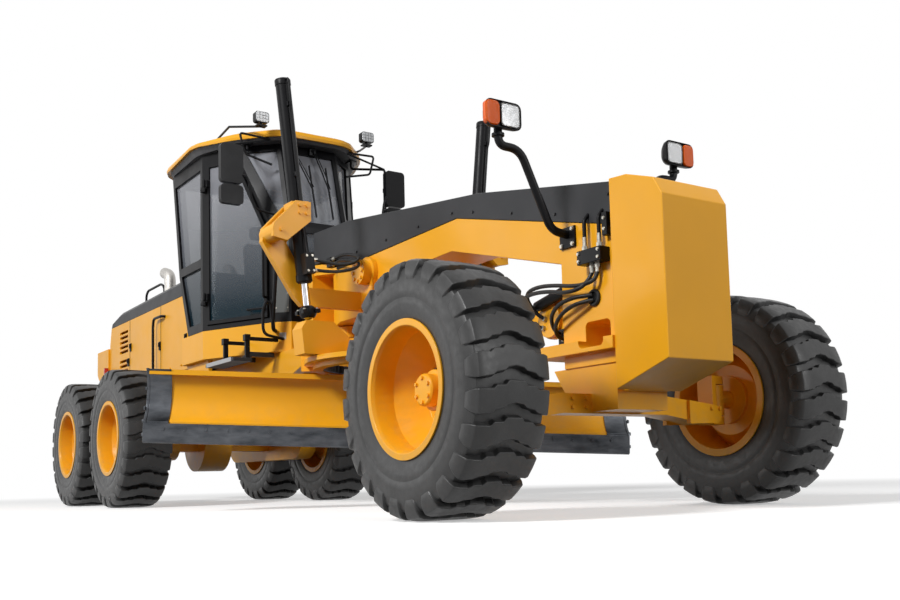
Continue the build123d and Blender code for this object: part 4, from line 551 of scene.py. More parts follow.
def rounded_path(points, bend, steps=6):
    """The corners of a bent tube's line, each rounded over a length of the tube."""
    points = [Vector(point) for point in points]
    path = [points[0]]
    for before, corner, after in zip(points, points[1:], points[2:]):
        reach = min(bend, (before - corner).length * 0.48, (after - corner).length * 0.48)
        start = corner + (before - corner).normalized() * reach
        end = corner + (after - corner).normalized() * reach
        for step in range(steps + 1):
            t = step / steps
            path.append(start * (1 - t) ** 2 + corner * 2 * t * (1 - t) + end * t ** 2)
    path.append(points[-1])
    return path


def add_tube(shape, points, radius, bend=0.05, sides=12):
    """A bent round tube along a line of points."""
    path = rounded_path(points, bend)
    across, over = frame_along(path[1] - path[0])
    rings = []
    for index, place in enumerate(path):
        ahead = path[min(index + 1, len(path) - 1)] - path[max(index - 1, 0)]
        ahead.normalize()
        across = (across - ahead * across.dot(ahead)).normalized()
        over = ahead.cross(across)
        rings.append(circle_points(place, across, over, radius, sides))
    add_loft(shape, rings)


def mirrored(points, side):
    return [(x, side * y, z) for x, y, z in points]


def add_tube_pairs(shape, tubes):
    """Tubes given for the left side as (radius, bend, points), and their mirror images."""
    for side in SIDES:
        for radius, bend, points in tubes:
            add_tube(shape, mirrored(points, side), radius, bend)


def add_turned(shape, centre, axis, profile, sides=48):
    """A turned ring or cup: profile of (along the axis, radius), closed on itself."""
    axis = Vector(axis).normalized()
    across, over = frame_along(axis)
    rings = []
    for a, b in turns(sides):
        out = across * a + over * b
        rings.append([Vector(centre) + axis * along + out * radius for along, radius in profile])
    add_loft(shape, rings, closed=True)


# Bolt heads: one Geometry Nodes tree sets a washer and a hexagon on every point, faced as the point says

def bolt_tree():
    tree = bpy.data.node_groups.new("bolt_heads", "GeometryNodeTree")
    face = tree.interface
    face.new_socket("Geometry", in_out="INPUT", socket_type="NodeSocketGeometry")
    for label, default in (("Head Width", 0.03), ("Head Height", 0.012), ("Washer Width", 0.04)):
        face.new_socket(label, in_out="INPUT", socket_type="NodeSocketFloat").default_value = default
    face.new_socket("Seed", in_out="INPUT", socket_type="NodeSocketInt").default_value = 7
    face.new_socket("Finish", in_out="INPUT", socket_type="NodeSocketMaterial")
    face.new_socket("Geometry", in_out="OUTPUT", socket_type="NodeSocketGeometry")
    given = add_node(tree, "NodeGroupInput")

    def scaled(socket, factor):
        node = add_node(tree, "ShaderNodeMath", {1: factor}, operation="MULTIPLY")
        connect(tree, (socket, node.inputs[0]))
        return node.outputs[0]

    def drum(corners, width, radius_factor, depth, depth_factor, lift_factor):
        """A prism whose width and depth follow two sockets, lifted off the point."""
        body = add_node(tree, "GeometryNodeMeshCylinder", {"Vertices": corners})
        rise = add_node(tree, "ShaderNodeCombineXYZ")
        lifted = add_node(tree, "GeometryNodeTransform")
        connect(
            tree,
            (scaled(width, radius_factor), body.inputs["Radius"]),
            (scaled(depth, depth_factor), body.inputs["Depth"]),
            (scaled(depth, lift_factor), rise.inputs["Z"]),
            (rise.outputs[0], lifted.inputs["Translation"]),
            (body.outputs["Mesh"], lifted.inputs["Geometry"]),
        )
        return lifted.outputs["Geometry"]

    height = given.outputs["Head Height"]
    head = drum(6, given.outputs["Head Width"], 0.577, height, 1.0, 0.7)
    washer = drum(14, given.outputs["Washer Width"], 0.5, height, 0.25, 0.12)
    both = add_node(tree, "GeometryNodeJoinGeometry")
    facing = add_node(tree, "GeometryNodeInputNamedAttribute", data_type="FLOAT_VECTOR")
    set_inputs(facing, {"Name": "facing"})
    aim = add_node(tree, "FunctionNodeAlignRotationToVector", axis="Z")
    chance = add_node(tree, "FunctionNodeRandomValue", data_type="FLOAT")
    set_inputs(chance, {3: pi / 3})
    spin = add_node(tree, "ShaderNodeCombineXYZ")
    tighten = add_node(tree, "FunctionNodeRotateRotation", rotation_space="LOCAL")
    placed = add_node(tree, "GeometryNodeInstanceOnPoints")
    real = add_node(tree, "GeometryNodeRealizeInstances")
    finish = add_node(tree, "GeometryNodeSetMaterial")
    result = add_node(tree, "NodeGroupOutput")
    connect(
        tree,
        (head, both.inputs[0]),
        (washer, both.inputs[0]),
        (facing.outputs[0], aim.inputs["Vector"]),
        (given.outputs["Seed"], chance.inputs["Seed"]),
        (chance.outputs[1], spin.inputs["Z"]),
        (aim.outputs["Rotation"], tighten.inputs["Rotation"]),
        (spin.outputs[0], tighten.inputs["Rotate By"]),
        (given.outputs["Geometry"], placed.inputs["Points"]),
        (both.outputs["Geometry"], placed.inputs["Instance"]),
        (tighten.outputs["Rotation"], placed.inputs["Rotation"]),
        (placed.outputs["Instances"], real.inputs["Geometry"]),
        (real.outputs["Geometry"], finish.inputs["Geometry"]),
        (given.outputs["Finish"], finish.inputs["Material"]),
        (finish.outputs["Geometry"], result.inputs["Geometry"]),
    )
    return tree


BOLT_TREE = bolt_tree()
BOLT_INPUT = {item.name: item.identifier for item in BOLT_TREE.interface.items_tree if item.in_out == "INPUT"}


def add_bolts(name, body, width, places, finish=None, slot="yellow_paint"):
    """Bolt heads of one width; each place is (point, the way the head faces)."""
    finish = finish or FINISH[slot]
    points = bpy.data.meshes.new(name)
    points.from_pydata([tuple(point) for point, facing in places], [], [])
    field = points.attributes.new("facing", "FLOAT_VECTOR", "POINT")
    for entry, (point, facing) in zip(field.data, places):
        entry.vector = Vector(facing).normalized()
    piece = link_object(name, points)
    setter = piece.modifiers.new("bolt heads", "NODES")
    setter.node_group = BOLT_TREE
    for label, value in (
        ("Head Width", width),
        ("Head Height", width * 0.42),
        ("Washer Width", width * 1.35),
        ("Seed", len(places)),
        ("Finish", finish),
    ):
        setter[BOLT_INPUT[label]] = value
    apply_modifier(piece, setter)
    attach(piece, body)


# Tyres: a smooth carcass with ring marks, and 24 chevron bars that wrap over its shoulders

BAR_COUNT = 24
CARCASS_STEPS = 96
# across from the middle, radius, from the bead out and up to the crown
CARCASS_SIDE = (
    (0.198, 0.3225), (0.199, 0.352), (0.206, 0.366), (0.212, 0.392), (0.2165, 0.425), (0.2195, 0.452),
    (0.2170, 0.458), (0.2170, 0.463), (0.2205, 0.469), (0.2215, 0.500), (0.2195, 0.536), (0.2150, 0.566),
    (0.2120, 0.572), (0.2080, 0.592), (0.198, 0.612), (0.165, 0.621), (0.080, 0.625),
)
# across, shift along the tread, half length of the bar, top radius
BAR_SIDE = (
    (0.000, -0.026, 0.052, 0.6597), (0.044, -0.022, 0.056, 0.6596), (0.062, -0.004, 0.053, 0.6595),
    (0.112, 0.001, 0.057, 0.6590), (0.132, 0.018, 0.055, 0.6582), (0.180, 0.022, 0.060, 0.6545),
    (0.204, 0.025, 0.060, 0.6440), (0.2155, 0.026, 0.057, 0.6180), (0.2205, 0.026, 0.050, 0.5850),
    (0.2210, 0.026, 0.040, 0.5600),
)
BAR_DRAFT = 0.010
BAR_DEPTH = 0.050


def bar_ring(across, shift, half, top, turn):
    """Cross section of one tread bar: foot, top and foot again, in the wheel's own frame."""
    low = top - BAR_DEPTH
    inward = across * 0.90
    ring = []
    for along, radius, reach in (
        (-half - BAR_DRAFT, low, inward), (-half, top, across), (0, top, across), (half, top, across),
        (half + BAR_DRAFT, low, inward), (0, low, inward),
    ):
        angle = turn + (shift + along) / TYRE_RADIUS
        ring.append(Vector((radius * sin(angle), reach, radius * cos(angle))))
    return ring


def build_tyre(axle, axle_x, half_track, hand, side):
    shape = bmesh.new()
    profile = [(-across, radius) for across, radius in CARCASS_SIDE]
    profile += [(across, radius) for across, radius in reversed(CARCASS_SIDE)]
    add_turned(shape, (0, 0, 0), (0, 1, 0), profile, CARCASS_STEPS)
    stations = [(-across, *rest) for across, *rest in reversed(BAR_SIDE[1:])] + list(BAR_SIDE)
    for bar in range(BAR_COUNT):
        turn = (bar + 0.5) * 2 * pi / BAR_COUNT
        add_loft(shape, [bar_ring(*station, turn) for station in stations])
    bmesh.ops.translate(shape, verts=shape.verts, vec=(axle_x, side * half_track, TYRE_RADIUS))
    node = f"{axle}_tyre_{hand}"
    soften(add_piece(f"{node}_tread", shape, "tyre_rubber", BODY_OF[node], replaces=(node,)), 0.005, 32)


# Wheels: nuts round the disc, bolts on the hub cap, a lock ring and a valve

NUT_COUNT = 12
NUT_CIRCLE = 0.164
DISC_INSET = 0.075
CAP_BOLT_COUNT = 6
CAP_BOLT_CIRCLE = 0.062
CAP_REACH = 0.095
# along the wheel's axis, radius
LOCK_RING = (
    (0.196, 0.322), (0.196, 0.330), (0.203, 0.336), (0.2095, 0.334), (0.2115, 0.326), (0.2095, 0.320),
)
DISC_RING = ((-0.0745, 0.118), (-0.0745, 0.136), (-0.066, 0.136), (-0.060, 0.130), (-0.060, 0.118))


def build_wheel_fittings(axle, axle_x, half_track, hand, side):
    node = f"{axle}_rim_{hand}"
    out = Vector((0, side, 0))
    hub = Vector((axle_x, side * half_track, TYRE_RADIUS))
    places = []
    for count, circle, reach in (
        (NUT_COUNT, NUT_CIRCLE, -DISC_INSET), (CAP_BOLT_COUNT, CAP_BOLT_CIRCLE, CAP_REACH),
    ):
        for a, b in turns(count, 0.5):
            places.append((hub + Vector((a, 0, b)) * circle + out * reach, out))
    add_bolts(f"{node}_nuts", BODY_OF[node], 0.026, places[:NUT_COUNT], finish=ZINC)
    add_bolts(f"{node}_cap_bolts", BODY_OF[node], 0.018, places[NUT_COUNT:])
    shape = bmesh.new()
    add_turned(shape, hub, out, LOCK_RING, 72)
    add_turned(shape, hub, out, DISC_RING)
    stem = hub + Vector((0.10, 0, 0.275)) - out * 0.02
    add_tube(shape, (
        stem, stem + out * 0.05 + Vector((0.008, 0, 0.018)), stem + out * 0.095 + Vector((0.006, 0, 0.014)),
    ), 0.005, 0.02, 8)
    smooth(add_piece(f"{node}_rings", shape, "yellow_paint", BODY_OF[node]))


# Lift cylinders: gland, port block, hard pipe, top cap, and the cover over the rod's ball

LIFT_X = 1.500
LIFT_BALL = (0.730, 1.432)    # across, height
LIFT_LEAN = radians(6.1)
BARREL_FOOT = 0.235
BARREL_HEAD = 1.735
PIVOT_UP = 0.745
CAP_LUG_CIRCLE = 0.071


def lift_point(side, up, forward=0.0, out=0.0):
    """A point by its distance up a lift cylinder, ahead of its axis and outboard of it."""
    across = LIFT_BALL[0] + sin(LIFT_LEAN) * up + cos(LIFT_LEAN) * out
    height = LIFT_BALL[1] + cos(LIFT_LEAN) * up - sin(LIFT_LEAN) * out
    return Vector((LIFT_X + forward, side * across, height))


def lift_turn(side):
    """Turns a box so that its height lies along a lift cylinder."""
    return Matrix.Rotation(-side * LIFT_LEAN, 3, "X")


def build_lift(hand, side):
    barrel = f"lift_barrel_{hand}"
    body = BODY_OF[barrel]
    axis = lift_point(side, 1) - lift_point(side, 0)
    shape = bmesh.new()
    foot = lift_point(side, BARREL_FOOT)
    add_turned(shape, foot, axis, (
        (-0.012, 0.0300), (-0.012, 0.046), (0.0, 0.060), (0.046, 0.060), (0.052, 0.0552), (0.052, 0.054),
        (0.0, 0.0300),
    ))
    add_turned(shape, lift_point(side, BARREL_HEAD - 0.045), axis, (
        (0.0, 0.0545), (0.0, 0.0590), (0.036, 0.0590), (0.043, 0.0552), (0.043, 0.0545),
    ))
    add_block(shape, lift_point(side, BARREL_FOOT + 0.115, 0.088), (0.075, 0.070, 0.150), lift_turn(side))
    for up in (0.78, 1.30):
        add_block(shape, lift_point(side, BARREL_FOOT + up, 0.062), (0.030, 0.034, 0.030), lift_turn(side))
    add_tube(shape, (
        lift_point(side, BARREL_FOOT + 0.17, 0.105), lift_point(side, BARREL_FOOT + 0.24, 0.090),
        lift_point(side, BARREL_FOOT + 0.33, 0.074), lift_point(side, BARREL_HEAD - 0.26, 0.074),
        lift_point(side, BARREL_HEAD - 0.20, 0.095), lift_point(side, BARREL_HEAD - 0.02, 0.095),
        lift_point(side, BARREL_HEAD - 0.012, 0.050),
    ), 0.0085, 0.02, 10)
    soften(add_piece(f"{barrel}_plumbing", shape, "black_paint", body), 0.003, 32)
    fittings = bmesh.new()
    for up in (0.075, 0.155):
        inboard = lift_point(side, BARREL_FOOT + up, 0.060, -0.031)
        collar = inboard + Vector((0.001, -side * 0.024, 0))
        add_round(fittings, inboard, collar, 0.0165, sides=6)
        add_round(fittings, collar, collar + Vector((0.002, -side * 0.034, -0.001)), 0.0145)
    smooth(add_piece(f"{barrel}_fittings", fittings, "rod_chrome", body, ZINC))
    block_bolts = []
    for up in (0.06, 0.17):
        for out in (-0.022, 0.022):
            block_bolts.append((lift_point(side, BARREL_FOOT + up, 0.1255, out), (1, 0, 0)))
    add_bolts(f"{barrel}_block_bolts", body, 0.014, block_bolts, finish=ZINC)
    rod = f"lift_rod_{hand}"
    cap = bmesh.new()
    add_turned(cap, lift_point(side, 0), axis, (
        (-0.034, 0.0370), (-0.034, 0.0480), (-0.012, 0.0620), (-0.006, 0.064), (0.030, 0.064), (0.046, 0.050),
        (0.056, 0.034), (0.056, 0.0275), (0.040, 0.0275), (-0.006, 0.0485),
    ), 32)
    cap_bolts = []
    for a, b in turns(4, 0.5):
        forward, out = CAP_LUG_CIRCLE * a, CAP_LUG_CIRCLE * b
        add_block(cap, lift_point(side, 0.010, forward, out), (0.040, 0.040, 0.030), lift_turn(side))
        cap_bolts.append((lift_point(side, 0.0255, forward, out), axis))
    soften(add_piece(f"{rod}_ball_cap", cap, "black_paint", BODY_OF[rod]), 0.003, 32)
    add_bolts(f"{rod}_cap_bolts", BODY_OF[rod], 0.018, cap_bolts, finish=ZINC)


# Faces of the saddle's cheeks and collar, and the bolt circles on them
CHEEK_FACES = ((1.6105, 1), (1.3645, -1))
PIVOT_BOLT_CIRCLE = 0.040
COLLAR_FACE_Y = BEAM_SIDE_Y + 0.1103
COLLAR_Z = 1.780
COLLAR_BOLT_CIRCLE = 0.070


def build_saddle_fittings():
    """Bolts on the arms that hold the lift cylinders."""
    places = []
    for side in SIDES:
        pivot = lift_point(side, PIVOT_UP)
        for a, b in turns(4, 0.5):
            for face_x, way in CHEEK_FACES:
                place = (face_x, pivot.y + a * PIVOT_BOLT_CIRCLE, pivot.z + b * PIVOT_BOLT_CIRCLE)
                places.append((place, (way, 0, 0)))
        for face_x, way in CHEEK_FACES:
            places.append(((face_x, side * 0.985, 2.005), (way, 0, 0)))
        for a, b in turns(8):
            place = (LIFT_X + a * COLLAR_BOLT_CIRCLE, side * COLLAR_FACE_Y, COLLAR_Z + b * COLLAR_BOLT_CIRCLE)
            places.append((place, (0, side, 0)))
    add_bolts("saddle_bolts", "front_frame", 0.024, places)


# Beam's front leg and cover: clamp block with its pipes, hose ends, grommet, cover ports and bolts

PIPE_PLACES = (3.962, 4.080)
PIPE_Y = -0.2345
# along, height of each hose's end on the pads by the drawbar
HOSE_ENDS = ((3.478, 1.148), (3.462, 1.094), (3.600, 1.043), (3.645, 1.003))
GROMMET_PLACE = (3.990, -BEAM_SIDE_Y - 0.0003, 1.190)
PORT_LEVELS = (1.990, 1.945)
PORT_Y = 0.2365
LAMP_PLATE_FACE_Y = 0.2147
CLAMP_FACE_Y = -0.2760
BRACKET_FACE_Y = -0.2435


def build_leg_fittings():
    black = bmesh.new()
    add_block(black, (4.030, -0.238, 1.412), (0.190, 0.075, 0.080))
    add_block(black, (4.130, -0.222, 1.575), (0.040, 0.042, 0.130))
    for pipe_x in PIPE_PLACES:
        add_tube(black, (
            (pipe_x, PIPE_Y, 1.530), (pipe_x, PIPE_Y, 1.630), (pipe_x, -BEAM_SIDE_Y, 1.668),
        ), 0.0115, 0.02)
    add_round(black, (3.420, -0.150, 1.228), (3.700, -0.150, 1.288), 0.031)
    for pad_x, pad_z in ((3.470, 1.123), (3.622, 1.023)):
        add_block(black, (pad_x, -0.111, pad_z), (0.090, 0.024, 0.095))
    soften(add_piece("leg_clamp_block", black, "black_paint", "front_frame"), 0.004, 32)

    bright = bmesh.new()
    for pipe_x in PIPE_PLACES:
        add_round(bright, (pipe_x, PIPE_Y, 1.450), (pipe_x, PIPE_Y, 1.480), 0.017, sides=6)
        add_round(bright, (pipe_x, PIPE_Y, 1.478), (pipe_x, PIPE_Y, 1.532), 0.013)
    for x, y, z in ((4.050, -0.226, 1.374), (4.005, -0.226, 1.376)):
        add_round(bright, (x, y, z), (x, y, z - 0.024), 0.016, sides=6)
        add_round(bright, (x, y, z - 0.022), (x, y - 0.001, z - 0.052), 0.0145)
    for x, z in HOSE_ENDS:
        add_round(bright, (x, -0.121, z), (x - 0.003, -0.146, z + 0.002), 0.0145)
    smooth(add_piece("leg_hose_fittings", bright, "rod_chrome", "front_frame", ZINC))

    ring = bmesh.new()
    add_turned(ring, GROMMET_PLACE, (0, -1, 0), (
        (0.0, 0.030), (0.0, 0.048), (0.010, 0.048), (0.016, 0.042), (0.016, 0.034), (0.010, 0.030),
    ))
    add_turned(ring, GROMMET_PLACE, (0, -1, 0), (
        (0.0, 0.002), (0.0, 0.031), (0.004, 0.031), (0.004, 0.002),
    ), 32)
    smooth(add_piece("leg_grommet", ring, "tyre_rubber", "front_frame", HOSE))

    ports = bmesh.new()
    sleeves = bmesh.new()
    for side in SIDES:
        for port_z in PORT_LEVELS:
            y = side * PORT_Y
            add_block(ports, (0.925, side * 0.2285, port_z), (0.070, 0.056, 0.034))
            add_round(sleeves, (0.958, y, port_z), (0.978, y, port_z), 0.0175, sides=6)
            add_round(sleeves, (0.976, y, port_z), (1.012, y, port_z), 0.0145)
    soften(add_piece("cover_ports", ports, "black_paint", "front_frame"), 0.003, 32)
    smooth(add_piece("cover_port_sleeves", sleeves, "rod_chrome", "front_frame", ZINC))
    plate_bolts = [
        ((bolt_x, side * LAMP_PLATE_FACE_Y, bolt_z), (0, side, 0))
        for side in SIDES for bolt_x in (3.742, 3.838) for bolt_z in (1.526, 1.614)
    ]
    add_bolts("lamp_plate_bolts", "front_frame", 0.020, plate_bolts, finish=ZINC)
    block_bolts = [
        ((bolt_x, CLAMP_FACE_Y, bolt_z), (0, -1, 0)) for bolt_x in (3.950, 4.108) for bolt_z in (1.392, 1.434)
    ]
    block_bolts += [((4.130, BRACKET_FACE_Y, bolt_z), (0, -1, 0)) for bolt_z in (1.545, 1.605)]
    add_bolts("clamp_block_bolts", "front_frame", 0.015, block_bolts, finish=ZINC)


SCREW_FACE_Y = BEAM_SIDE_Y + 0.0055
COVER_SLOPE = 0.2484


def build_cover_bolts():
    """Screws along the lower edge of the beam cover, and at its front edge."""
    places = []
    for side in SIDES:
        for bolt_x in (1.30, 1.75, 2.20, 2.62):
            places.append(((bolt_x, side * SCREW_FACE_Y, 1.985), (0, side, 0)))
        for step in range(4):
            bolt_x = 2.86 + step * 0.41
            bolt_z = 1.985 - (bolt_x - 2.67) * COVER_SLOPE
            places.append(((bolt_x, side * SCREW_FACE_Y, bolt_z), (0, side, 0)))
        places.append(((4.130, side * SCREW_FACE_Y, 1.745), (0, side, 0)))
    add_bolts("cover_bolts", "front_frame", 0.016, places, finish=DARK_BOLT, slot="dark_paint")


def build_axle_bolts():
    """Bolts on the front axle's arms and round its middle pin."""
    places = []
    for side in SIDES:
        for across in (0.23, 0.33):
            for bolt_z in (0.585, 0.635):
                places.append(((3.9205, side * across, bolt_z), (1, 0, 0)))
        for across in (-0.035, 0.035):
            places.append(((3.9425, side * 0.800 + across, 0.560 + abs(across)), (1, 0, 0)))
    add_bolts("axle_bolts", "front_frame", 0.022, places)


# Blade: curved plate, slide rails, the end bits' faces, and the bolts of the edge and the end bits

BLADE_ANGLE = radians(27)
BLADE_TILT = radians(2.6)
BLADE_CENTRE = Vector((1.530, 0, 0.620))
BLADE_LEVEL = Vector((sin(BLADE_ANGLE), cos(BLADE_ANGLE), 0))
BLADE_FACING = Vector((cos(BLADE_ANGLE), -sin(BLADE_ANGLE), 0))
BLADE_ALONG = BLADE_LEVEL * cos(BLADE_TILT) - Vector((0, 0, 1)) * sin(BLADE_TILT)
BLADE_UP = BLADE_FACING.cross(BLADE_ALONG)


def blade_point(along, facing, height):
    return BLADE_CENTRE + BLADE_ALONG * along + BLADE_FACING * facing + BLADE_UP * (height - BLADE_CENTRE.z)


# Half length inside the end plates, and the front face as (ahead of the blade's plane, height)
BLADE_REST_SHIFT = -0.0318
BLADE_HALF = 1.850
END_PLATE = 0.0223
BLADE_WALL = 0.025
FACE_FOOT = (0.0, 0.526)
FACE_ARC = ((0.0, 0.600), (-0.105, 0.790), (-0.020, 0.991))
END_BIT_WIDTH = 0.160


def arc_through(start, middle, end, steps=20):
    """Points along the circle through three points, ends included."""
    (ax, ay), (bx, by), (cx, cy) = start, middle, end
    spread = 2 * (ax * (by - cy) + bx * (cy - ay) + cx * (ay - by))
    a, b, c = ax ** 2 + ay ** 2, bx ** 2 + by ** 2, cx ** 2 + cy ** 2
    centre = Vector((
        (a * (by - cy) + b * (cy - ay) + c * (ay - by)) / spread,
        (a * (cx - bx) + b * (ax - cx) + c * (bx - ax)) / spread,
    ))
    first, last = Vector(start) - centre, Vector(end) - centre
    turn = first.angle_signed(last)
    return [centre + Matrix.Rotation(-turn * step / steps, 2) @ first for step in range(steps + 1)]


def blade_strip(shape, low, high, front, back):
    """A strip of curved plate along the blade between two places."""
    face = [Vector(FACE_FOOT)] + arc_through(*FACE_ARC)
    section = [(place.x + front, place.y) for place in face]
    section += [(place.x + back, place.y) for place in reversed(face)]
    add_loft(shape, [[blade_point(along, *place) for place in section] for along in (low, high)])


def blade_bar(shape, half_length, back, front, low, high):
    """A straight bar along the blade, centred on it as it stands."""
    section = ((back, low), (front, low), (front, high), (back, high))
    ends = (BLADE_REST_SHIFT - half_length, BLADE_REST_SHIFT + half_length)
    add_loft(shape, [[blade_point(along, *place) for place in section] for along in ends])


def build_moldboard():
    """Curved plate with its top lip and the two slide rails on its back, and the steel end bits' faces."""
    shape = bmesh.new()
    half = BLADE_HALF - END_PLATE
    blade_strip(shape, BLADE_REST_SHIFT - half, BLADE_REST_SHIFT + half, 0.0, -BLADE_WALL)
    blade_bar(shape, half, -0.096, -0.022, 0.951, 0.9905)
    blade_bar(shape, 1.150, -0.175, -0.090, 0.640, 0.680)
    blade_bar(shape, 1.150, -0.175, -0.110, 0.840, 0.880)
    plate = add_piece("moldboard_plate", shape, "yellow_paint", "blade", replaces=("moldboard",))
    soften(plate, 0.003, 32)
    bits = bmesh.new()
    for end in (-1, 1):
        outer = BLADE_REST_SHIFT + end * half
        inner = outer - end * END_BIT_WIDTH
        blade_strip(bits, min(outer, inner), max(outer, inner), 0.013, 0.0005)
    soften(add_piece("end_bit_faces", bits, "edge_steel", "blade"), 0.002, 32)


def build_blade_bolts():
    places = []
    for step in range(23):
        along = BLADE_REST_SHIFT + (step - 11) * 0.155
        places.append((blade_point(along, 0.0195, 0.545), BLADE_FACING))
    add_bolts("edge_bolts", "blade", 0.022, places, finish=EDGE_STEEL, slot="edge_steel")
    ends = []
    for end in (-1, 1):
        outer = BLADE_REST_SHIFT + end * (BLADE_HALF + 0.0003)
        for height, facing in ((0.50, -0.012), (0.60, -0.012), (0.70, -0.060), (0.85, -0.100)):
            ends.append((blade_point(outer, facing, height), BLADE_ALONG * end))
    add_bolts("end_bit_bolts", "blade", 0.024, ends, finish=EDGE_STEEL, slot="edge_steel")


# Cab: seat, steering, wipers, rails and handles, steps, corner panels, lamp lenses and mirrors

SEAT_X = -0.600
SWELL_LIMIT = 0.016
SWELL_FRAMES = 14


# across, up, from one side of a pad over its crown to the other and back
PAD_SECTION = (
    (-1, 0), (-1, 0.7), (-0.86, 1), (-0.45, 1.08), (0, 1.1), (0.45, 1.08), (0.86, 1), (1, 0.7), (1, 0),
    (0, 0),
)
PAD_STEPS = 8
SEAT_LEAN = Vector((-0.136, 0, 0.991))
SEAT_FRONT = Vector((0.991, 0, 0.136))


def cushion_rings(half_width, start, end, thick, crown):
    """Cross sections of a pad from one end to the other, thinner towards its ends."""
    rings = []
    for step in range(PAD_STEPS + 1):
        t = step / PAD_STEPS
        place = start + (end - start) * t
        pinch = 1 - 0.10 * (2 * t - 1) ** 4
        rings.append([
            place + Vector((0, across * half_width * pinch, 0)) + crown * (up * thick * pinch)
            for across, up in PAD_SECTION
        ])
    return rings


def build_seat():
    """Seat pad, back pad and head pad, swollen by pressure and then seamed."""
    shape = bmesh.new()
    back, ahead = Vector((SEAT_X - 0.235, 0, 1.965)), Vector((SEAT_X + 0.245, 0, 1.970))
    foot = Vector((SEAT_X - 0.300, 0, 2.095))
    head = foot + SEAT_LEAN * 0.465
    for half_width, start, end, thick, crown in (
        (0.232, back, ahead, 0.092, Vector((0, 0, 1))),
        (0.226, foot, foot + SEAT_LEAN * 0.42, 0.080, SEAT_FRONT),
        (0.135, head, head + SEAT_LEAN * 0.125, 0.070, SEAT_FRONT),
    ):
        add_loft(shape, cushion_rings(half_width, start, end, thick, crown))
    pads = add_piece("seat_pads", shape, "seat_fabric", "rear_frame", replaces=("seat",))
    remesh = pads.modifiers.new("even cloth", "REMESH")
    remesh.mode = "VOXEL"
    remesh.voxel_size = 0.011
    even = apply_modifier(pads, remesh)
    before = [vertex.co.copy() for vertex in even.vertices]
    swell = pads.modifiers.new("swell", "CLOTH")
    swell.settings.use_pressure = True
    swell.settings.uniform_pressure_force = 4.0
    swell.settings.effector_weights.gravity = 0.0
    swell.settings.quality = 4
    swell.point_cache.frame_start = 1
    swell.point_cache.frame_end = SWELL_FRAMES
    for moment in range(1, SWELL_FRAMES + 1):
        bpy.context.scene.frame_set(moment)
    swollen = apply_modifier(pads, swell)
    bpy.context.scene.frame_set(1)
    for vertex, start in zip(swollen.vertices, before):
        move = vertex.co - start
        if move.length > SWELL_LIMIT:
            vertex.co = start + move.normalized() * SWELL_LIMIT
    pads.data.materials.clear()
    pads.data.materials.append(CLOTH)
    finer = pads.modifiers.new("finer cloth", "SUBSURF")
    finer.levels = 1
    finer.render_levels = 1
    smooth(pads, 80)
    seams = bmesh.new()
    skin = foot + SEAT_FRONT * 0.094
    for half, low, high in (
        (0.205, Vector((SEAT_X - 0.205, 0, 2.070)), Vector((SEAT_X + 0.215, 0, 2.074))),
        (0.198, skin + SEAT_LEAN * 0.035, skin + SEAT_LEAN * 0.385),
    ):
        across = Vector((0, half, 0))
        corners = [low - across, high - across, high + across, low + across]
        middle = (corners[0] + corners[3]) * 0.5
        add_tube(seams, [middle, *corners, middle + Vector((0, 0.002, 0))], 0.004, 0.05, 8)
    smooth(add_piece("seat_piping", seams, "seat_fabric", "rear_frame", PIPING), 60)


# along, height, half length and half width of the column, from its foot up
COLUMN = (
    (0.115, 1.632, 0.072, 0.088), (0.055, 2.050, 0.060, 0.080), (-0.005, 2.300, 0.050, 0.066),
    (-0.040, 2.375, 0.034, 0.044),
)
COLUMN_SECTION = ((-1, -0.7), (-0.7, -1), (0.7, -1), (1, -0.7), (1, 0.7), (0.7, 1), (-0.7, 1), (-1, 0.7))
WHEEL_HUB = Vector((-0.050, 0, 2.420))
WHEEL_AXIS = Vector((-0.309, 0, 0.951))
WHEEL_RIM_RADIUS = 0.173
WHEEL_GRIP_RADIUS = 0.014


def build_steering():
    """Column and a spoked wheel with its knob, in place of the plain ones."""
    shape = bmesh.new()
    add_loft(shape, [
        [Vector((x + half_x * a, half_y * b, z)) for a, b in COLUMN_SECTION]
        for x, z, half_x, half_y in COLUMN
    ])
    across, over = frame_along(WHEEL_AXIS)
    grip = [(b * WHEEL_GRIP_RADIUS, WHEEL_RIM_RADIUS + a * WHEEL_GRIP_RADIUS) for a, b in turns(12)]
    add_turned(shape, WHEEL_HUB, WHEEL_AXIS, grip)
    add_turned(shape, WHEEL_HUB, WHEEL_AXIS, (
        (-0.030, 0.002), (-0.030, 0.034), (0.010, 0.044), (0.018, 0.036), (0.018, 0.002),
    ), 32)
    for a, b in turns(3, 0.75):
        out = across * a + over * b
        add_round(shape, WHEEL_HUB + out * 0.035, WHEEL_HUB + out * 0.165, 0.010, sides=10)
    knob = WHEEL_HUB + across * WHEEL_RIM_RADIUS + WHEEL_AXIS * WHEEL_GRIP_RADIUS
    add_turned(shape, knob, WHEEL_AXIS, (
        (0.0, 0.002), (0.0, 0.010), (0.020, 0.016), (0.036, 0.014), (0.044, 0.002),
    ), 20)
    piece = add_piece("steering_wheel", shape, "cab_plastic", "rear_frame", replaces=("steering_column",))
    soften(piece, 0.004, 34)


SCREEN_FOOT = Vector((0.270, 0, CAB_KNEE_Z))
SCREEN_UP = Vector((-0.210, 0, 0.780)).normalized()
SCREEN_OUT = Vector((0.780, 0, 0.210)).normalized()


def on_screen(across, up, out):
    return SCREEN_FOOT + Vector((0, across, 0)) + SCREEN_UP * up + SCREEN_OUT * out


DOOR_POST = Vector((-0.600, 0.740, 0))
DOOR_RUN = Vector((0.750, -0.340, 0)).normalized()
DOOR_OUT = Vector((0.340, 0.750, 0)).normalized()
DOOR_FACE = 0.018


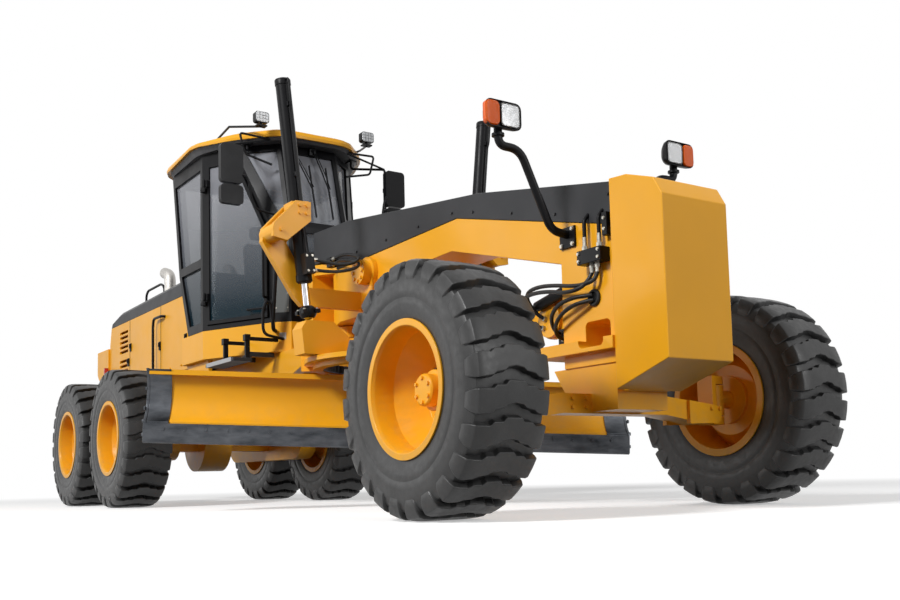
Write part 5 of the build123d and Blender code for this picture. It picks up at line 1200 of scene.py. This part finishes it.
def on_door(side, run, height, out):
    place = DOOR_POST + DOOR_RUN * run + DOOR_OUT * out
    return Vector((place.x, side * place.y, height))


# across at the pivot and at the blade's middle
WIPERS = ((0.03, 0.145), (-0.19, -0.02))
WIPER_PIVOT_UP = 0.765


def build_wipers():
    shape = bmesh.new()
    for across, lean in WIPERS:
        halfway = (across + lean) / 2
        add_block(shape, on_screen(across, WIPER_PIVOT_UP, 0.016), (0.034, 0.060, 0.060))
        low, high = on_screen(across, WIPER_PIVOT_UP, 0.020), on_screen(across, WIPER_PIVOT_UP, 0.046)
        add_round(shape, low, high, 0.012)
        add_tube(shape, (
            on_screen(across, WIPER_PIVOT_UP, 0.038), on_screen(halfway, 0.56, 0.040),
            on_screen(lean, 0.36, 0.026),
        ), 0.0065, 0.05, 8)
        add_tube(shape, (
            on_screen(across + 0.028, 0.745, 0.036), on_screen(halfway + 0.03, 0.55, 0.038),
            on_screen(lean + 0.012, 0.40, 0.026),
        ), 0.0045, 0.05, 8)
        middle = (on_screen(lean, 0.62, 0.016) + on_screen(lean, 0.10, 0.016)) / 2
        add_block(shape, middle, (0.016, 0.010, 0.52), Matrix.Rotation(-0.263, 3, "Y"))
    smooth(add_piece("wipers", shape, "black_paint", "rear_frame"))


LAMP_FRAME_X = 0.100
# radius, bend, points on the left side
CAB_RAILS = (
    # grab rail from the screen's foot down to the step
    (0.017, 0.06, (
        (0.188, 0.385, 2.330), (0.330, 0.440, 2.290), (0.368, 0.450, 2.170), (0.270, 0.450, 1.560),
        (0.235, 0.430, 1.500), (0.180, 0.385, 1.500),
    )),
    # low loop ahead of the door
    (0.013, 0.07, (
        (0.215, 0.330, 1.430), (0.280, 0.545, 1.450), (0.280, 0.544, 1.655), (0.280, 0.510, 1.735),
        (0.280, 0.474, 1.712), (0.272, 0.455, 1.580),
    )),
    # lamp frame under the roof
    (0.010, 0.03, (
        (LAMP_FRAME_X, 0.350, 3.212), (LAMP_FRAME_X, 0.666, 3.222), (LAMP_FRAME_X, 0.619, 3.043),
        (LAMP_FRAME_X, 0.370, 2.985),
    )),
    # loop below the mirror
    (0.010, 0.05, (
        (0.200, 0.740, 2.800), (0.280, 0.688, 2.800), (0.280, 0.661, 2.740), (0.280, 0.636, 2.588),
        (0.280, 0.600, 2.516), (0.262, 0.372, 2.486),
    )),
)


def build_cab_handles():
    """Rails ahead of each door and under the roof, a strut to the mirror arm, and the doors' handles."""
    rails = bmesh.new()
    add_tube_pairs(rails, CAB_RAILS)
    for side in SIDES:
        add_round(rails, (0.090, side * 0.380, 3.212), (0.168, side * 0.738, 3.090), 0.009)
    smooth(add_piece("grab_rails", rails, "black_paint", "rear_frame"))
    for hand, side in HANDS:
        loop = bmesh.new()
        for radius, bend, reach, start, end in (
            (0.009, 0.02, 0.060, (0.580, 1.705), (0.760, 1.700)),
            (0.011, 0.03, 0.055, (0.772, 1.800), (0.772, 2.280)),
        ):
            add_tube(loop, (
                on_door(side, *start, DOOR_FACE), on_door(side, *start, reach),
                on_door(side, *end, reach), on_door(side, *end, DOOR_FACE),
            ), radius, bend, 10)
        smooth(add_piece(f"door_handle_{hand}", loop, "black_paint", BODY_OF[f"cab_door_{hand}"]))


CORNER_OUT = Vector((0.714, 0.700, 0)).normalized()


def on_corner(side, run, height, out):
    """On the upright corner face below the screen, from the door to the front."""
    place = Vector((0.150, 0.400, 0)) + Vector((0.120, -0.1224, 0)) * run + CORNER_OUT * out
    return Vector((place.x, side * place.y, height))


def build_step_hangers():
    """Upright hangers at the cab steps, with an arm back to the cab and a bright tread edge."""
    black = bmesh.new()
    edge = bmesh.new()
    for side in SIDES:
        for hanger_x, across, cab_side in ((-0.110, 0.720, 0.530), (0.215, 0.660, 0.400)):
            arm = across - cab_side + 0.04
            add_block(black, (hanger_x, side * across, 1.340), (0.028, 0.040, 0.190))
            add_block(black, (hanger_x, side * (across + cab_side) / 2, 1.415), (0.030, arm, 0.030))
            add_block(black, (hanger_x, side * (across + 0.004), 1.422), (0.052, 0.050, 0.055))
        add_block(edge, (-0.065, side * 0.8030, 1.236), (0.560, 0.0045, 0.036))
    soften(add_piece("step_hangers", black, "black_paint", "rear_frame"), 0.004, 32)
    soften(add_piece("step_edges", edge, "dark_paint", "rear_frame", SILL_GREY), 0.001, 32)


# along the corner's face, height
PANEL_OUTLINE = ((0.14, 1.66), (0.90, 1.66), (0.90, 2.36), (0.30, 2.36), (0.14, 2.22))
PLATE_OUTLINE = ((0.36, 1.425), (0.72, 1.425), (0.72, 1.485), (0.36, 1.485))
PANEL_FACE = 0.0035
PLATE_FACE = 0.0025


def add_corner_sheet(shape, side, outline, face):
    """A flat sheet on the corner's face, up to a height above it."""
    add_loft(shape, [
        [on_corner(side, run, height, out) for run, height in outline] for out in (0.0005, face)
    ])


def build_corner_panels():
    shape = bmesh.new()
    rivets = []
    for side in SIDES:
        add_corner_sheet(shape, side, PANEL_OUTLINE, PANEL_FACE)
        facing = Vector((CORNER_OUT.x, side * CORNER_OUT.y, 0))
        for run in (0.22, 0.82):
            for step in range(5):
                rivets.append((on_corner(side, run, 1.70 + step * 0.125, PANEL_FACE), facing))
    soften(add_piece("corner_panels", shape, "dark_paint", "rear_frame", PANEL_GREY), 0.001, 30, 1)
    add_bolts("corner_rivets", "rear_frame", 0.010, rivets, finish=ZINC)
    plates = bmesh.new()
    for side in SIDES:
        add_corner_sheet(plates, side, PLATE_OUTLINE, PLATE_FACE)
    add_piece("sill_plates", plates, "dark_paint", "rear_frame", SILL_GREY)


def clipped_ring(centre, half_y, half_z, corner):
    """A rectangle with clipped corners, square to the machine's length."""
    short_y, short_z = half_y - corner, half_z - corner
    return [centre + Vector((0, a, b)) for a, b in (
        (-half_y, -short_z), (-short_y, -half_z), (short_y, -half_z), (half_y, -short_z),
        (half_y, short_z), (short_y, half_z), (-short_y, half_z), (-half_y, short_z),
    )]


def build_roof_lamp_lenses():
    lenses = bmesh.new()
    guards = bmesh.new()
    for side in SIDES:
        centre = Vector((0.2505, side * 0.520, 3.3409))
        add_loft(lenses, [
            clipped_ring(centre + Vector((reach, 0, 0)), 0.059 - inset, 0.044 - inset, 0.014)
            for reach, inset in ((0.0, 0.0), (0.006, 0.004))
        ])
        for across in (-0.027, 0.0, 0.027):
            add_block(guards, centre + Vector((0.0070, across, 0)), (0.0015, 0.0015, 0.086))
        for up in (-0.013, 0.013):
            add_block(guards, centre + Vector((0.0070, 0, up)), (0.0015, 0.116, 0.0015))
    smooth(add_piece("work_lamp_lenses", lenses, "lamp_glass", "rear_frame"))
    add_piece("work_lamp_guards", guards, "black_paint", "rear_frame")


def build_mirror_faces():
    shape = bmesh.new()
    for side in SIDES:
        for centre_z, half_z in ((2.890, 0.150), (2.625, 0.066)):
            add_loft(shape, [
                clipped_ring(Vector((0.230 + reach, side * 0.800, centre_z)), 0.084, half_z, 0.024)
                for reach in (-0.0278, -0.0290)
            ])
    smooth(add_piece("mirror_faces", shape, "rod_chrome", "rear_frame", MIRROR_FACE))


# Hood: seams, catches, rails, tail lamps and bolts

HOOD_SIDE_Y = 0.580
# radius, bend, points on the left side: along the top, and down the side by the seam
HOOD_RAILS = (
    (0.013, 0.05, (
        (-3.118, 0.455, 2.170), (-3.116, 0.455, 2.340), (-3.050, 0.455, 2.380), (-2.600, 0.455, 2.382),
        (-2.505, 0.455, 2.335), (-2.500, 0.455, 2.190),
    )),
    (0.014, 0.05, (
        (-2.100, 0.575, 1.945), (-2.110, 0.620, 1.945), (-2.340, 0.625, 1.948), (-2.362, 0.625, 1.860),
        (-2.358, 0.625, 1.400), (-2.358, 0.575, 1.390),
    )),
)
CATCHES = ((-2.260, 1.655), (-3.270, 1.760), (-3.350, 1.600), (-1.475, 1.640))


def build_hood_fittings():
    seams = bmesh.new()
    for side in SIDES:
        for seam_x in (-3.310, -2.240):
            add_block(seams, (seam_x, side * (HOOD_SIDE_Y + 0.0008), 1.705), (0.008, 0.0020, 0.735))
        add_block(seams, (-2.775, side * (HOOD_SIDE_Y + 0.0008), 1.345), (1.060, 0.0020, 0.008))
    add_piece("hood_seams", seams, "black_paint", "rear_frame")
    catches = bmesh.new()
    for side in SIDES:
        for catch_x, catch_z in CATCHES:
            plate = (catch_x, side * (HOOD_SIDE_Y + 0.006), catch_z)
            grip = (catch_x, side * (HOOD_SIDE_Y + 0.016), catch_z + 0.012)
            add_block(catches, plate, (0.045, 0.012, 0.090))
            add_block(catches, grip, (0.020, 0.014, 0.050))
    soften(add_piece("hood_catches", catches, "black_paint", "rear_frame"), 0.003, 32)
    rail = bmesh.new()
    add_tube_pairs(rail, HOOD_RAILS)
    smooth(add_piece("hood_rails", rail, "black_paint", "rear_frame"))
    lamps = bmesh.new()
    for side in SIDES:
        add_block(lamps, (-4.075, side * 0.632, 1.560), (0.030, 0.050, 0.090))
    soften(add_piece("tail_lamps", lamps, "indicator_orange", "rear_frame", RED_LENS), 0.006, 32)
    bolts = []
    for side in SIDES:
        for bolt_x in (-3.95, -3.55, -2.95, -2.60, -1.95, -1.62):
            bolts.append(((bolt_x, side * (HOOD_SIDE_Y + 0.0005), 1.385), (0, side, 0)))
    add_bolts("hood_bolts", "rear_frame", 0.018, bolts)


# Head lamps: bowl housings on their bent posts, a reflector behind clear glass, and the indicator

LAMP_FACE = Vector((3.850, 0.690, 2.192))
LAMP_HALF_WIDTH = 0.1225
LAMP_HALF_HEIGHT = 0.0775


# back from the face, half width, half height, corner
HOUSING = (
    (-0.013, LAMP_HALF_WIDTH - 0.008, LAMP_HALF_HEIGHT - 0.008, 0.030),
    (0.0, LAMP_HALF_WIDTH - 0.006, LAMP_HALF_HEIGHT - 0.006, 0.032),
    (0.0, LAMP_HALF_WIDTH - 0.001, LAMP_HALF_HEIGHT - 0.001, 0.036),
    (-0.006, LAMP_HALF_WIDTH, LAMP_HALF_HEIGHT, 0.038),
    (-0.030, LAMP_HALF_WIDTH - 0.004, LAMP_HALF_HEIGHT - 0.003, 0.040),
    (-0.062, 0.100, 0.063, 0.045), (-0.092, 0.070, 0.044, 0.040), (-0.108, 0.036, 0.026, 0.025),
)
BOWL = (
    (0.001, 0.064, 0.066, 0.020), (0.001, 0.058, 0.060, 0.020), (-0.014, 0.050, 0.050, 0.024),
    (-0.026, 0.034, 0.034, 0.028), (-0.031, 0.016, 0.016, 0.014),
)
PANE = ((0.0015, 0.065, 0.066, 0.020), (0.0050, 0.062, 0.063, 0.020), (0.0058, 0.050, 0.052, 0.020))
CAP = (
    (-0.030, 0.040, 0.064, 0.020), (-0.004, 0.0465, 0.069, 0.026), (0.0045, 0.042, 0.066, 0.028),
    (0.0058, 0.030, 0.054, 0.026),
)
CAP_SHIFTS = (0.008, 0.003, 0.0, -0.002)
POST_X = 3.790
POST_TOP_Y = 0.690
POST_COLLAR = ((0.0, 0.022), (0.0, 0.036), (0.016, 0.036), (0.016, 0.022))
PLATE_CORNERS = ((3.725, 1.510), (3.855, 1.510), (3.855, 1.630), (3.725, 1.630))


def rounded_ring(centre, half_y, half_z, corner, steps=4):
    """A rounded rectangle square to the machine's length."""
    ring = []
    for quarter, (side_y, side_z) in enumerate(((1, 1), (-1, 1), (-1, -1), (1, -1))):
        for step in range(steps + 1):
            angle = (quarter + step / steps) * pi / 2
            ring.append(centre + Vector((
                0,
                side_y * (half_y - corner) + cos(angle) * corner,
                side_z * (half_z - corner) + sin(angle) * corner,
            )))
    return ring


def build_head_lamps():
    posts = bmesh.new()
    bowls = bmesh.new()
    clear = bmesh.new()
    amber = bmesh.new()
    for side in SIDES:
        face = Vector((LAMP_FACE.x, side * LAMP_FACE.y, LAMP_FACE.z))
        add_loft(posts, [rounded_ring(face + Vector((back, 0, 0)), *size) for back, *size in HOUSING])
        add_tube(posts, (
            (POST_X, side * (BEAM_SIDE_Y + 0.008), 1.585), (POST_X, side * 0.330, 1.600),
            (POST_X, side * 0.540, 2.036), (POST_X, side * POST_TOP_Y, 2.036),
            (POST_X, side * POST_TOP_Y, 2.150),
        ), 0.024, 0.075, 18)
        add_loft(posts, [
            [Vector((x, side * (BEAM_SIDE_Y + reach), z)) for x, z in PLATE_CORNERS]
            for reach in (0.0006, 0.0145)
        ])
        add_turned(posts, (POST_X, side * POST_TOP_Y, 2.085), (0, 0, 1), POST_COLLAR, 24)
        inner = face + Vector((0, -side * 0.0445, 0))
        add_loft(bowls, [rounded_ring(inner + Vector((back, 0, 0)), *size) for back, *size in BOWL])
        add_round(bowls, inner + Vector((-0.030, 0, 0)), inner + Vector((-0.008, 0, 0)), 0.010, 0.007, 16)
        add_loft(clear, [rounded_ring(inner + Vector((back, 0, 0)), *size) for back, *size in PANE])
        outer = face + Vector((0, side * 0.0745, 0))
        add_loft(amber, [
            rounded_ring(outer + Vector((back, shift * side, 0)), *size)
            for shift, (back, *size) in zip(CAP_SHIFTS, CAP)
        ])
    piece = add_piece("head_lamp_posts", posts, "black_paint", "front_frame", replaces=("head_lamps",))
    soften(piece, 0.0015, 40)
    smooth(add_piece("head_lamp_bowls", bowls, "rod_chrome", "front_frame", LAMP_BOWL), 40)
    glass = add_piece("head_lamp_glass", clear, "lamp_glass", "front_frame", HEAD_GLASS,
                      replaces=("lamp_lenses",))
    smooth(glass)
    caps = add_piece("indicator_caps", amber, "indicator_orange", "front_frame",
                     replaces=("indicator_lenses",))
    smooth(caps)


# Roof shell and the bright elbow on the hood

ROOF_MIDDLE_X = -0.725
ROOF_HALF_LENGTH = 0.965
ROOF_HALF_WIDTH = 0.840
# half outline from the back round to the visor: x, y, how far the rim lifts above the walls' top
ROOF_HALF = (
    (-1.690, 0.520, 0.012), (-1.440, 0.810, 0.020), (-0.600, 0.840, 0.052), (-0.090, 0.640, 0.012),
    (0.240, 0.330, 0.014),
)
# height, how far the outline is drawn in
ROOF_RISE = (
    (3.212, 0.026), (3.206, 0.004), (3.232, 0.000), (3.268, 0.010), (3.294, 0.060), (3.311, 0.150),
    (3.319, 0.300),
)
RIM_LOW, RIM_HIGH = 3.206, 3.319


def roof_ring(height, inset):
    """The roof's outline drawn in by an inset, its corners rounded."""
    droop = max(0, min(1, (RIM_HIGH - height) / (RIM_HIGH - RIM_LOW)))
    outline = [Vector((x, y, lift * droop)) for x, y, lift in ROOF_HALF]
    outline += [Vector((x, -y, lift * droop)) for x, y, lift in reversed(ROOF_HALF)]
    count = len(outline)
    ring = []
    for index, corner in enumerate(outline):
        before, after = outline[index - 1], outline[(index + 1) % count]
        for t in (-0.9, -0.5, 0.0, 0.5, 0.9):
            other = before if t < 0 else after
            reach = min(0.10, (other - corner).length * 0.4)
            place = corner + (other - corner).normalized() * reach * abs(t)
            pull = (before - corner).normalized() + (after - corner).normalized()
            ring.append(place + pull * 0.035 * (1 - abs(t)) ** 2)
    scale_x = 1 - inset / ROOF_HALF_LENGTH
    scale_y = 1 - inset / ROOF_HALF_WIDTH
    return [
        Vector((ROOF_MIDDLE_X + (place.x - ROOF_MIDDLE_X) * scale_x, place.y * scale_y, height + place.z))
        for place in ring
    ]


def build_roof():
    """A thin pressed shell with a drooping rim, over a dark sheet that paints the shade under the rim."""
    shell = bmesh.new()
    add_loft(shell, [roof_ring(height, inset) for height, inset in ROOF_RISE])
    smooth(add_piece("roof_shell", shell, "yellow_paint", "rear_frame", replaces=("cab_roof",)), 24)
    # painted shade: a dark plastic sheet under the rim, where the shell's yellow underside lies in shade
    underside_shade = bmesh.new()
    add_loft(underside_shade, [roof_ring(RIM_HIGH, 0.060), roof_ring(RIM_LOW, 0.030)])
    for vertex in underside_shade.verts:
        vertex.co.z = 3.2006 if vertex.co.z > RIM_HIGH - 0.001 else vertex.co.z + 0.010
    smooth(add_piece("roof_underside_shade", underside_shade, "cab_plastic", "rear_frame"))


ELBOW_X, ELBOW_Y = -2.420, -0.420


def build_elbow():
    """Bright pipe elbow that stands on the right of the hood."""
    shape = bmesh.new()
    add_tube(shape, (
        (ELBOW_X, ELBOW_Y, 2.200), (ELBOW_X, ELBOW_Y, 2.450), (-2.580, ELBOW_Y, 2.500),
    ), 0.060, 0.11, 24)
    add_turned(shape, (ELBOW_X, ELBOW_Y, 2.245), (0, 0, 1), (
        (0.0, 0.056), (0.0, 0.078), (0.012, 0.078), (0.020, 0.064), (0.020, 0.056),
    ), 32)
    smooth(add_piece("hood_elbow", shape, "exhaust_steel", "rear_frame"))


# Bolts on the drive case and the tandem covers

DRIVE_X, DRIVE_TOP_Z = 2.030, 1.3805
DRIVE_BOLT_CIRCLE = 0.095
TANDEM_FACE_Y = 0.8155
HUB_COVER_CIRCLE = 0.178
TANDEM_COVER_UP = 0.185


def build_frame_bolts():
    motor = [
        ((DRIVE_X + a * DRIVE_BOLT_CIRCLE, b * DRIVE_BOLT_CIRCLE, DRIVE_TOP_Z), (0, 0, 1))
        for a, b in turns(8)
    ]
    add_bolts("circle_drive_bolts", "drawbar", 0.018, motor, finish=ZINC)
    covers = []
    for side in SIDES:
        for axle_x in (MID_AXLE_X, REAR_AXLE_X):
            for a, b in turns(10, 0.5):
                ring_x, ring_z = axle_x + a * HUB_COVER_CIRCLE, TYRE_RADIUS + b * HUB_COVER_CIRCLE
                covers.append(((ring_x, side * TANDEM_FACE_Y, ring_z), (0, side, 0)))
        for cover_x in (-2.90, -2.66, -2.43, -2.20, -1.96):
            for up in (-TANDEM_COVER_UP, TANDEM_COVER_UP):
                covers.append(((cover_x, side * TANDEM_FACE_Y, TYRE_RADIUS + up), (0, side, 0)))
    add_bolts("tandem_bolts", "rear_frame", 0.022, covers)


# Stage and light

SHADOW_REACH = 6.0
WHITE_REACH = 14.0
FLOOR_SIZE = 60
FLOOR_GREY = 0.80
FLOOR_GLOW = 0.42
# floor colour for the rays that the camera doesn't see, so that little light comes back up
UNSEEN_GREY = 0.10
AIR_LIGHT = 0.17
WHITE = (1, 1, 1, 1)


def seen_rays(tree):
    """1 for what the camera sees, straight, mirrored or through glass."""
    rays = add_node(tree, "ShaderNodeLightPath")
    first = add_node(tree, "ShaderNodeMath", operation="MAXIMUM")
    second = add_node(tree, "ShaderNodeMath", operation="MAXIMUM")
    connect(
        tree,
        (rays.outputs["Is Camera Ray"], first.inputs[0]),
        (rays.outputs["Is Glossy Ray"], first.inputs[1]),
        (first.outputs[0], second.inputs[0]),
        (rays.outputs["Is Transmission Ray"], second.inputs[1]),
    )
    return second.outputs[0]


def build_stage():
    """A floor that shows the machine's shadow and turns into plain white away from it."""
    shape = bmesh.new()
    bmesh.ops.create_grid(shape, x_segments=1, y_segments=1, size=FLOOR_SIZE)
    mesh = bpy.data.meshes.new("floor")
    shape.to_mesh(mesh)
    shape.free()
    floor = link_object("floor", mesh)
    material = bpy.data.materials.new("floor_white")
    material.use_nodes = True
    tree = material.node_tree
    tree.nodes.clear()
    out = add_node(tree, "ShaderNodeOutputMaterial")
    lit = add_node(tree, "ShaderNodeBsdfDiffuse", {"Color": (*grey(FLOOR_GREY), 1)})
    shade = add_node(tree, "ShaderNodeBsdfDiffuse", {"Color": (*grey(UNSEEN_GREY), 1)})
    lift = add_node(tree, "ShaderNodeEmission", {"Strength": FLOOR_GLOW})
    near = add_node(tree, "ShaderNodeAddShader")
    plain = add_node(tree, "ShaderNodeEmission", {"Strength": 1.0})
    place = add_node(tree, "ShaderNodeTexCoord")
    reach = add_node(tree, "ShaderNodeVectorMath", operation="LENGTH")
    fade = add_node(tree, "ShaderNodeMapRange", interpolation_type="SMOOTHSTEP")
    set_inputs(fade, {"From Min": SHADOW_REACH, "From Max": WHITE_REACH})
    across = add_node(tree, "ShaderNodeMixShader")
    both = add_node(tree, "ShaderNodeMixShader")
    connect(
        tree,
        (lit.outputs[0], near.inputs[0]),
        (lift.outputs[0], near.inputs[1]),
        (place.outputs["Object"], reach.inputs[0]),
        (reach.outputs["Value"], fade.inputs["Value"]),
        (fade.outputs[0], across.inputs["Fac"]),
        (near.outputs[0], across.inputs[1]),
        (plain.outputs[0], across.inputs[2]),
        (seen_rays(tree), both.inputs["Fac"]),
        (shade.outputs[0], both.inputs[1]),
        (across.outputs[0], both.inputs[2]),
        (both.outputs[0], out.inputs["Surface"]),
    )
    mesh.materials.append(material)


def area_light(name, place, aim, size, power):
    data = bpy.data.lights.new(name, "AREA")
    data.shape = "RECTANGLE"
    data.size, data.size_y = size
    data.energy = power
    lamp = link_object(name, data)
    lamp.location = place
    lamp.rotation_euler = (Vector(aim) - Vector(place)).to_track_quat("-Z", "Y").to_euler()


def build_light():
    world = bpy.context.scene.world or bpy.data.worlds.new("studio")
    bpy.context.scene.world = world
    world.use_nodes = True
    tree = world.node_tree
    tree.nodes.clear()
    out = add_node(tree, "ShaderNodeOutputWorld")
    air = add_node(tree, "ShaderNodeBackground", {"Color": WHITE, "Strength": AIR_LIGHT})
    seen = add_node(tree, "ShaderNodeBackground", {"Color": WHITE, "Strength": 1.0})
    both = add_node(tree, "ShaderNodeMixShader")
    connect(
        tree,
        (seen_rays(tree), both.inputs["Fac"]),
        (air.outputs[0], both.inputs[1]),
        (seen.outputs[0], both.inputs[2]),
        (both.outputs[0], out.inputs["Surface"]),
    )
    area_light("key", (4.5, -13, 10), (0.5, 0, 1.2), (3, 3), 2150)
    area_light("front", (15, 3, 6), (1, 0, 1.2), (6, 6), 660)
    area_light("fill", (-7, -10, 4), (-1, 0, 1.2), (6, 4), 180)


# Build

# how far the edges are rounded, single nodes, nodes with a left and a right one
EASED_NODES = (
    (0.006, (
        "nose_box", "beam_cover", "front_frame", "hood", "hood_top", "rear_bumper", "cab_floor", "cab_frame",
        "drawbar", "lift_saddle", "rear_frame", "tandem_cases", "circle", "cutting_edge", "blade_carriers",
        "rear_axle", "steps", "seat_base",
    ), ("cab_door", "lift_yoke", "lean_yoke", "knuckle")),
    (0.003, ("mirrors", "roof_lamps", "exhaust"), (
        "lift_barrel", "lift_rod", "front_rim", "mid_rim", "rear_rim",
    )),
)

build_stage()
build_light()
bpy.context.scene.view_settings.view_transform = "Standard"

for width, single, paired in EASED_NODES:
    for node in (*single, *(f"{name}_{hand}" for name in paired for hand, side in HANDS)):
        ease(node, width)
for axle, axle_x, half_track in AXLES:
    for hand, side in HANDS:
        build_tyre(axle, axle_x, half_track, hand, side)
        build_wheel_fittings(axle, axle_x, half_track, hand, side)
for hand, side in HANDS:
    build_lift(hand, side)
build_saddle_fittings()
build_leg_fittings()
build_cover_bolts()
build_axle_bolts()
build_moldboard()
build_blade_bolts()
build_seat()
build_steering()
build_wipers()
build_cab_handles()
build_step_hangers()
build_corner_panels()
build_roof_lamp_lenses()
build_mirror_faces()
build_hood_fittings()
build_frame_bolts()
build_roof()
build_elbow()
build_head_lamps()
